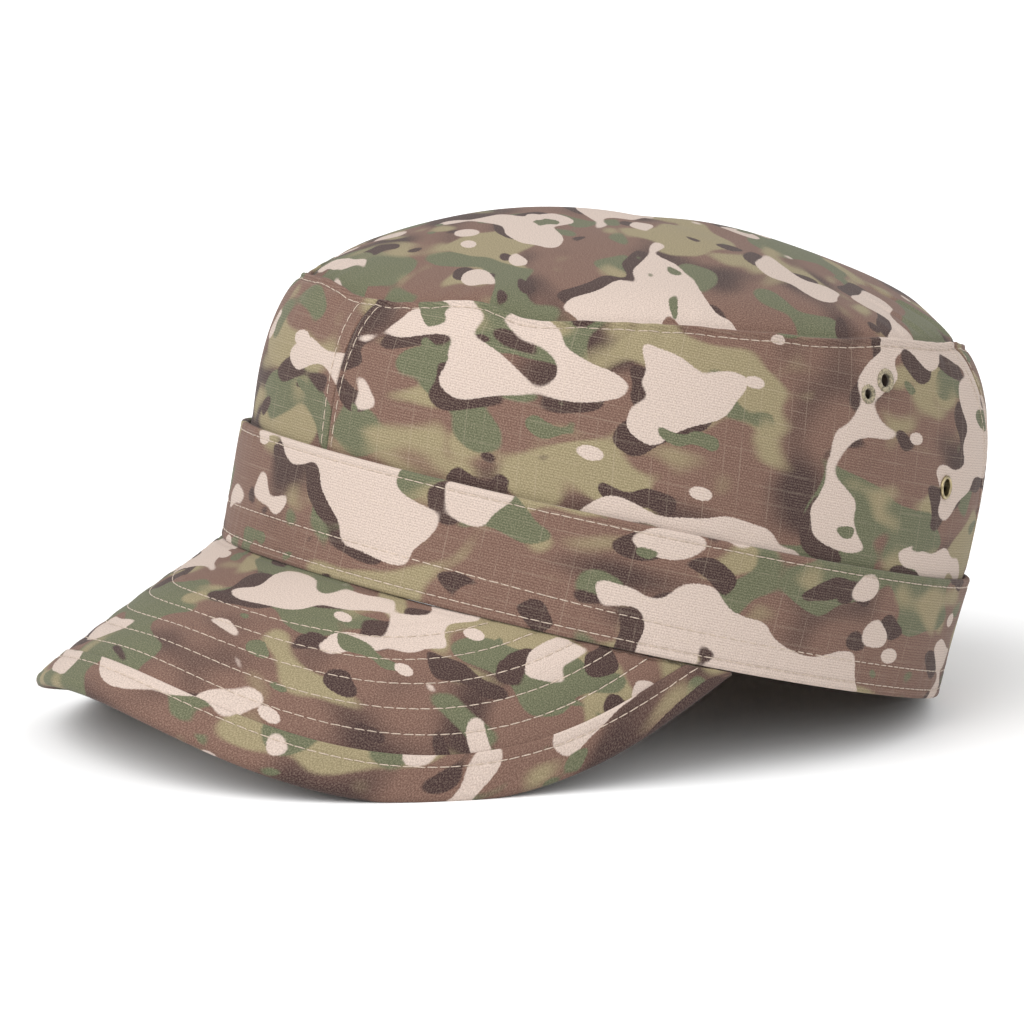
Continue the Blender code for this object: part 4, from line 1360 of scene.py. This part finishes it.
def make_brass_eyelet(name, row, side, node, material):
    """A pressed ring: a profile turned about the hole, with a rounded flange and a short barrel."""
    hole, flange = row["hole_radius"], row["flange_radius"]
    turn_deg = np.linspace(0.0, 180.0, 15)
    middle, half = (hole + flange) / 2.0, (flange - hole) / 2.0
    bead_r = middle + half * np.cos(np.radians(turn_deg))
    bead_z = 0.05 + 0.50 * np.sin(np.radians(turn_deg)) ** 0.7
    radius = np.concatenate((bead_r, (hole, hole, hole + 0.35, hole + 0.35, flange - 0.2)))
    height = np.concatenate((bead_z, (-0.6, -1.8, -1.8, -0.3, -0.2)))
    phi = np.linspace(0.0, 2.0 * math.pi, 64, endpoint=False)
    points = stacked(radius[:, None] * np.cos(phi), radius[:, None] * np.sin(phi), height[:, None] + 0.0 * phi)
    rows, columns = points.shape[:2]
    r, c = (index.ravel() for index in np.mgrid[:rows, :columns])
    r1, c1 = (r + 1) % rows, (c + 1) % columns
    quads = np.stack((r * columns + c, r * columns + c1, r1 * columns + c1, r1 * columns + c), axis=1)
    centre, axes = eyelet_axes(row, side)
    mesh = bpy.data.meshes.new(name)
    mesh.from_pydata(lay_down(centre + points.reshape(-1, 3) @ axes).tolist(), [], quads.tolist())
    piece = finished_object(name, mesh, [material])
    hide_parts(node)


def brass_material():
    """Antique brass: a yellow metal whose lacquer has darkened and dulled in uneven patches."""
    material = bpy.data.materials.new("antique_brass")
    material.use_nodes = True
    tree = material.node_tree
    where = add_node(tree, "TexCoord").outputs["Object"]
    tarnish = add_node(tree, "TexNoise", {"Vector": where, "Scale": 1.0 / (1.3 * MM), "Detail": 3.0})
    tone = add_node(tree, "MapRange", {"Value": tarnish, "From Min": 0.35, "From Max": 0.65, "To Min": 0.55})
    colour = add_node(tree, "Mix", {"Factor": 1.0, "A": linear("brass"), "B": tone}, data_type="RGBA",
                      blend_type="MULTIPLY")
    rough = add_node(tree, "MapRange", {"Value": tarnish, "To Min": 0.5, "To Max": 0.25})
    wire(tree, tree.nodes["Principled BSDF"], {"Base Color": colour, "Roughness": rough, "Metallic": 1.0})
    return material


brass = brass_material()
counts = {"stitched": 0, "metal": 0}
for side in (1, -1):
    for row in EYELETS:
        counts[row["kind"]] += 1
        node = f"{row['kind']}_eyelet_{counts[row['kind']]}"
        if row["kind"] == "metal":
            make_brass_eyelet(f"brass_ring_{counts['metal']}", row, side, node, brass)
        else:
            make_stitched_eyelet(f"thread_ring_{counts['stitched']}", row, side, node)

# %% [markdown]
# ## Table and light
# The cap stands on a plain white table in a white studio. Lamps near the table would leave its far side darker,
# so the light comes from the sky of the scene instead: a plain part, more of it from the cap's near side, and one
# broad soft box above the peak. All but the box is dimmed close to the horizon, so little light comes in low
# under the cap: the table goes to pure white, and the cap's own shadow stays tight and dark.

# %% Table, light and colour
TABLE_SIZE = 8.0
SKY_STRENGTH = 0.5
SIDE_STRENGTH = 1.25
SIDE_TOWARDS = (0.99, 0.10, 0.0)
SIDE_SPAN = (-0.2, 0.8)
HORIZON_SPAN = (0.10, 0.30)
BOX_STRENGTH = 3.7
BOX_TOWARDS = (0.0, -0.76, 0.65)
BOX_INNER_DEG = 15.0
BOX_OUTER_DEG = 42.0


def facing_light(tree, direction, towards, span, strengths):
    """Strength by how far a direction turns towards one: the dot product, taken over a span in a smooth step."""
    facing = add_node(tree, "VectorMath", {0: direction, 1: unit(np.array(towards)).tolist()},
                      operation="DOT_PRODUCT")
    return add_node(tree, "MapRange", {"Value": facing.outputs["Value"], "From Min": span[0], "From Max": span[1],
                                       "To Min": strengths[0], "To Max": strengths[1]},
                    interpolation_type="SMOOTHSTEP")


def studio_sky():
    """World light by direction: a plain sky with a brighter side, dimmed near the horizon, and a round box."""
    world = bpy.data.worlds.new("white_studio")
    bpy.context.scene.world = world
    world.use_nodes = True
    tree = world.node_tree
    direction = add_node(tree, "TexCoord").outputs["Generated"]
    above = facing_light(tree, direction, (0.0, 0.0, 1.0), HORIZON_SPAN, (0.0, 1.0))
    sky = facing_light(tree, direction, SIDE_TOWARDS, SIDE_SPAN, (SKY_STRENGTH, SKY_STRENGTH + SIDE_STRENGTH))
    box_span = math.cos(math.radians(BOX_OUTER_DEG)), math.cos(math.radians(BOX_INNER_DEG))
    box = facing_light(tree, direction, BOX_TOWARDS, box_span, (0.0, BOX_STRENGTH))
    strength = add_node(tree, "Math", {0: sky, 1: above, 2: box}, operation="MULTIPLY_ADD")
    wire(tree, tree.nodes["Background"], {"Color": (1.0, 1.0, 1.0, 1.0), "Strength": strength})
    return world


half = TABLE_SIZE / 2.0
table_mesh = bpy.data.meshes.new("table")
table_mesh.from_pydata([(-half, -half, 0.0), (half, -half, 0.0), (half, half, 0.0), (-half, half, 0.0)], [],
                       [(0, 1, 2, 3)])
table = bpy.data.objects.new("table", table_mesh)
bpy.context.scene.collection.objects.link(table)
# Matt white card: no gloss at all, so no reflection of the cap shows in it.
card = bpy.data.materials.new("matt_white_card")
card.use_nodes = True
wire(card.node_tree, card.node_tree.nodes["Principled BSDF"],
     {"Base Color": linear("table"), "Roughness": 1.0, "Specular IOR Level": 0.0})
table_mesh.materials.append(card)
studio_sky()
bpy.context.scene.view_settings.view_transform = "Standard"
print("table", TABLE_SIZE, "m, soft box towards", unit(np.array(BOX_TOWARDS)).round(2))
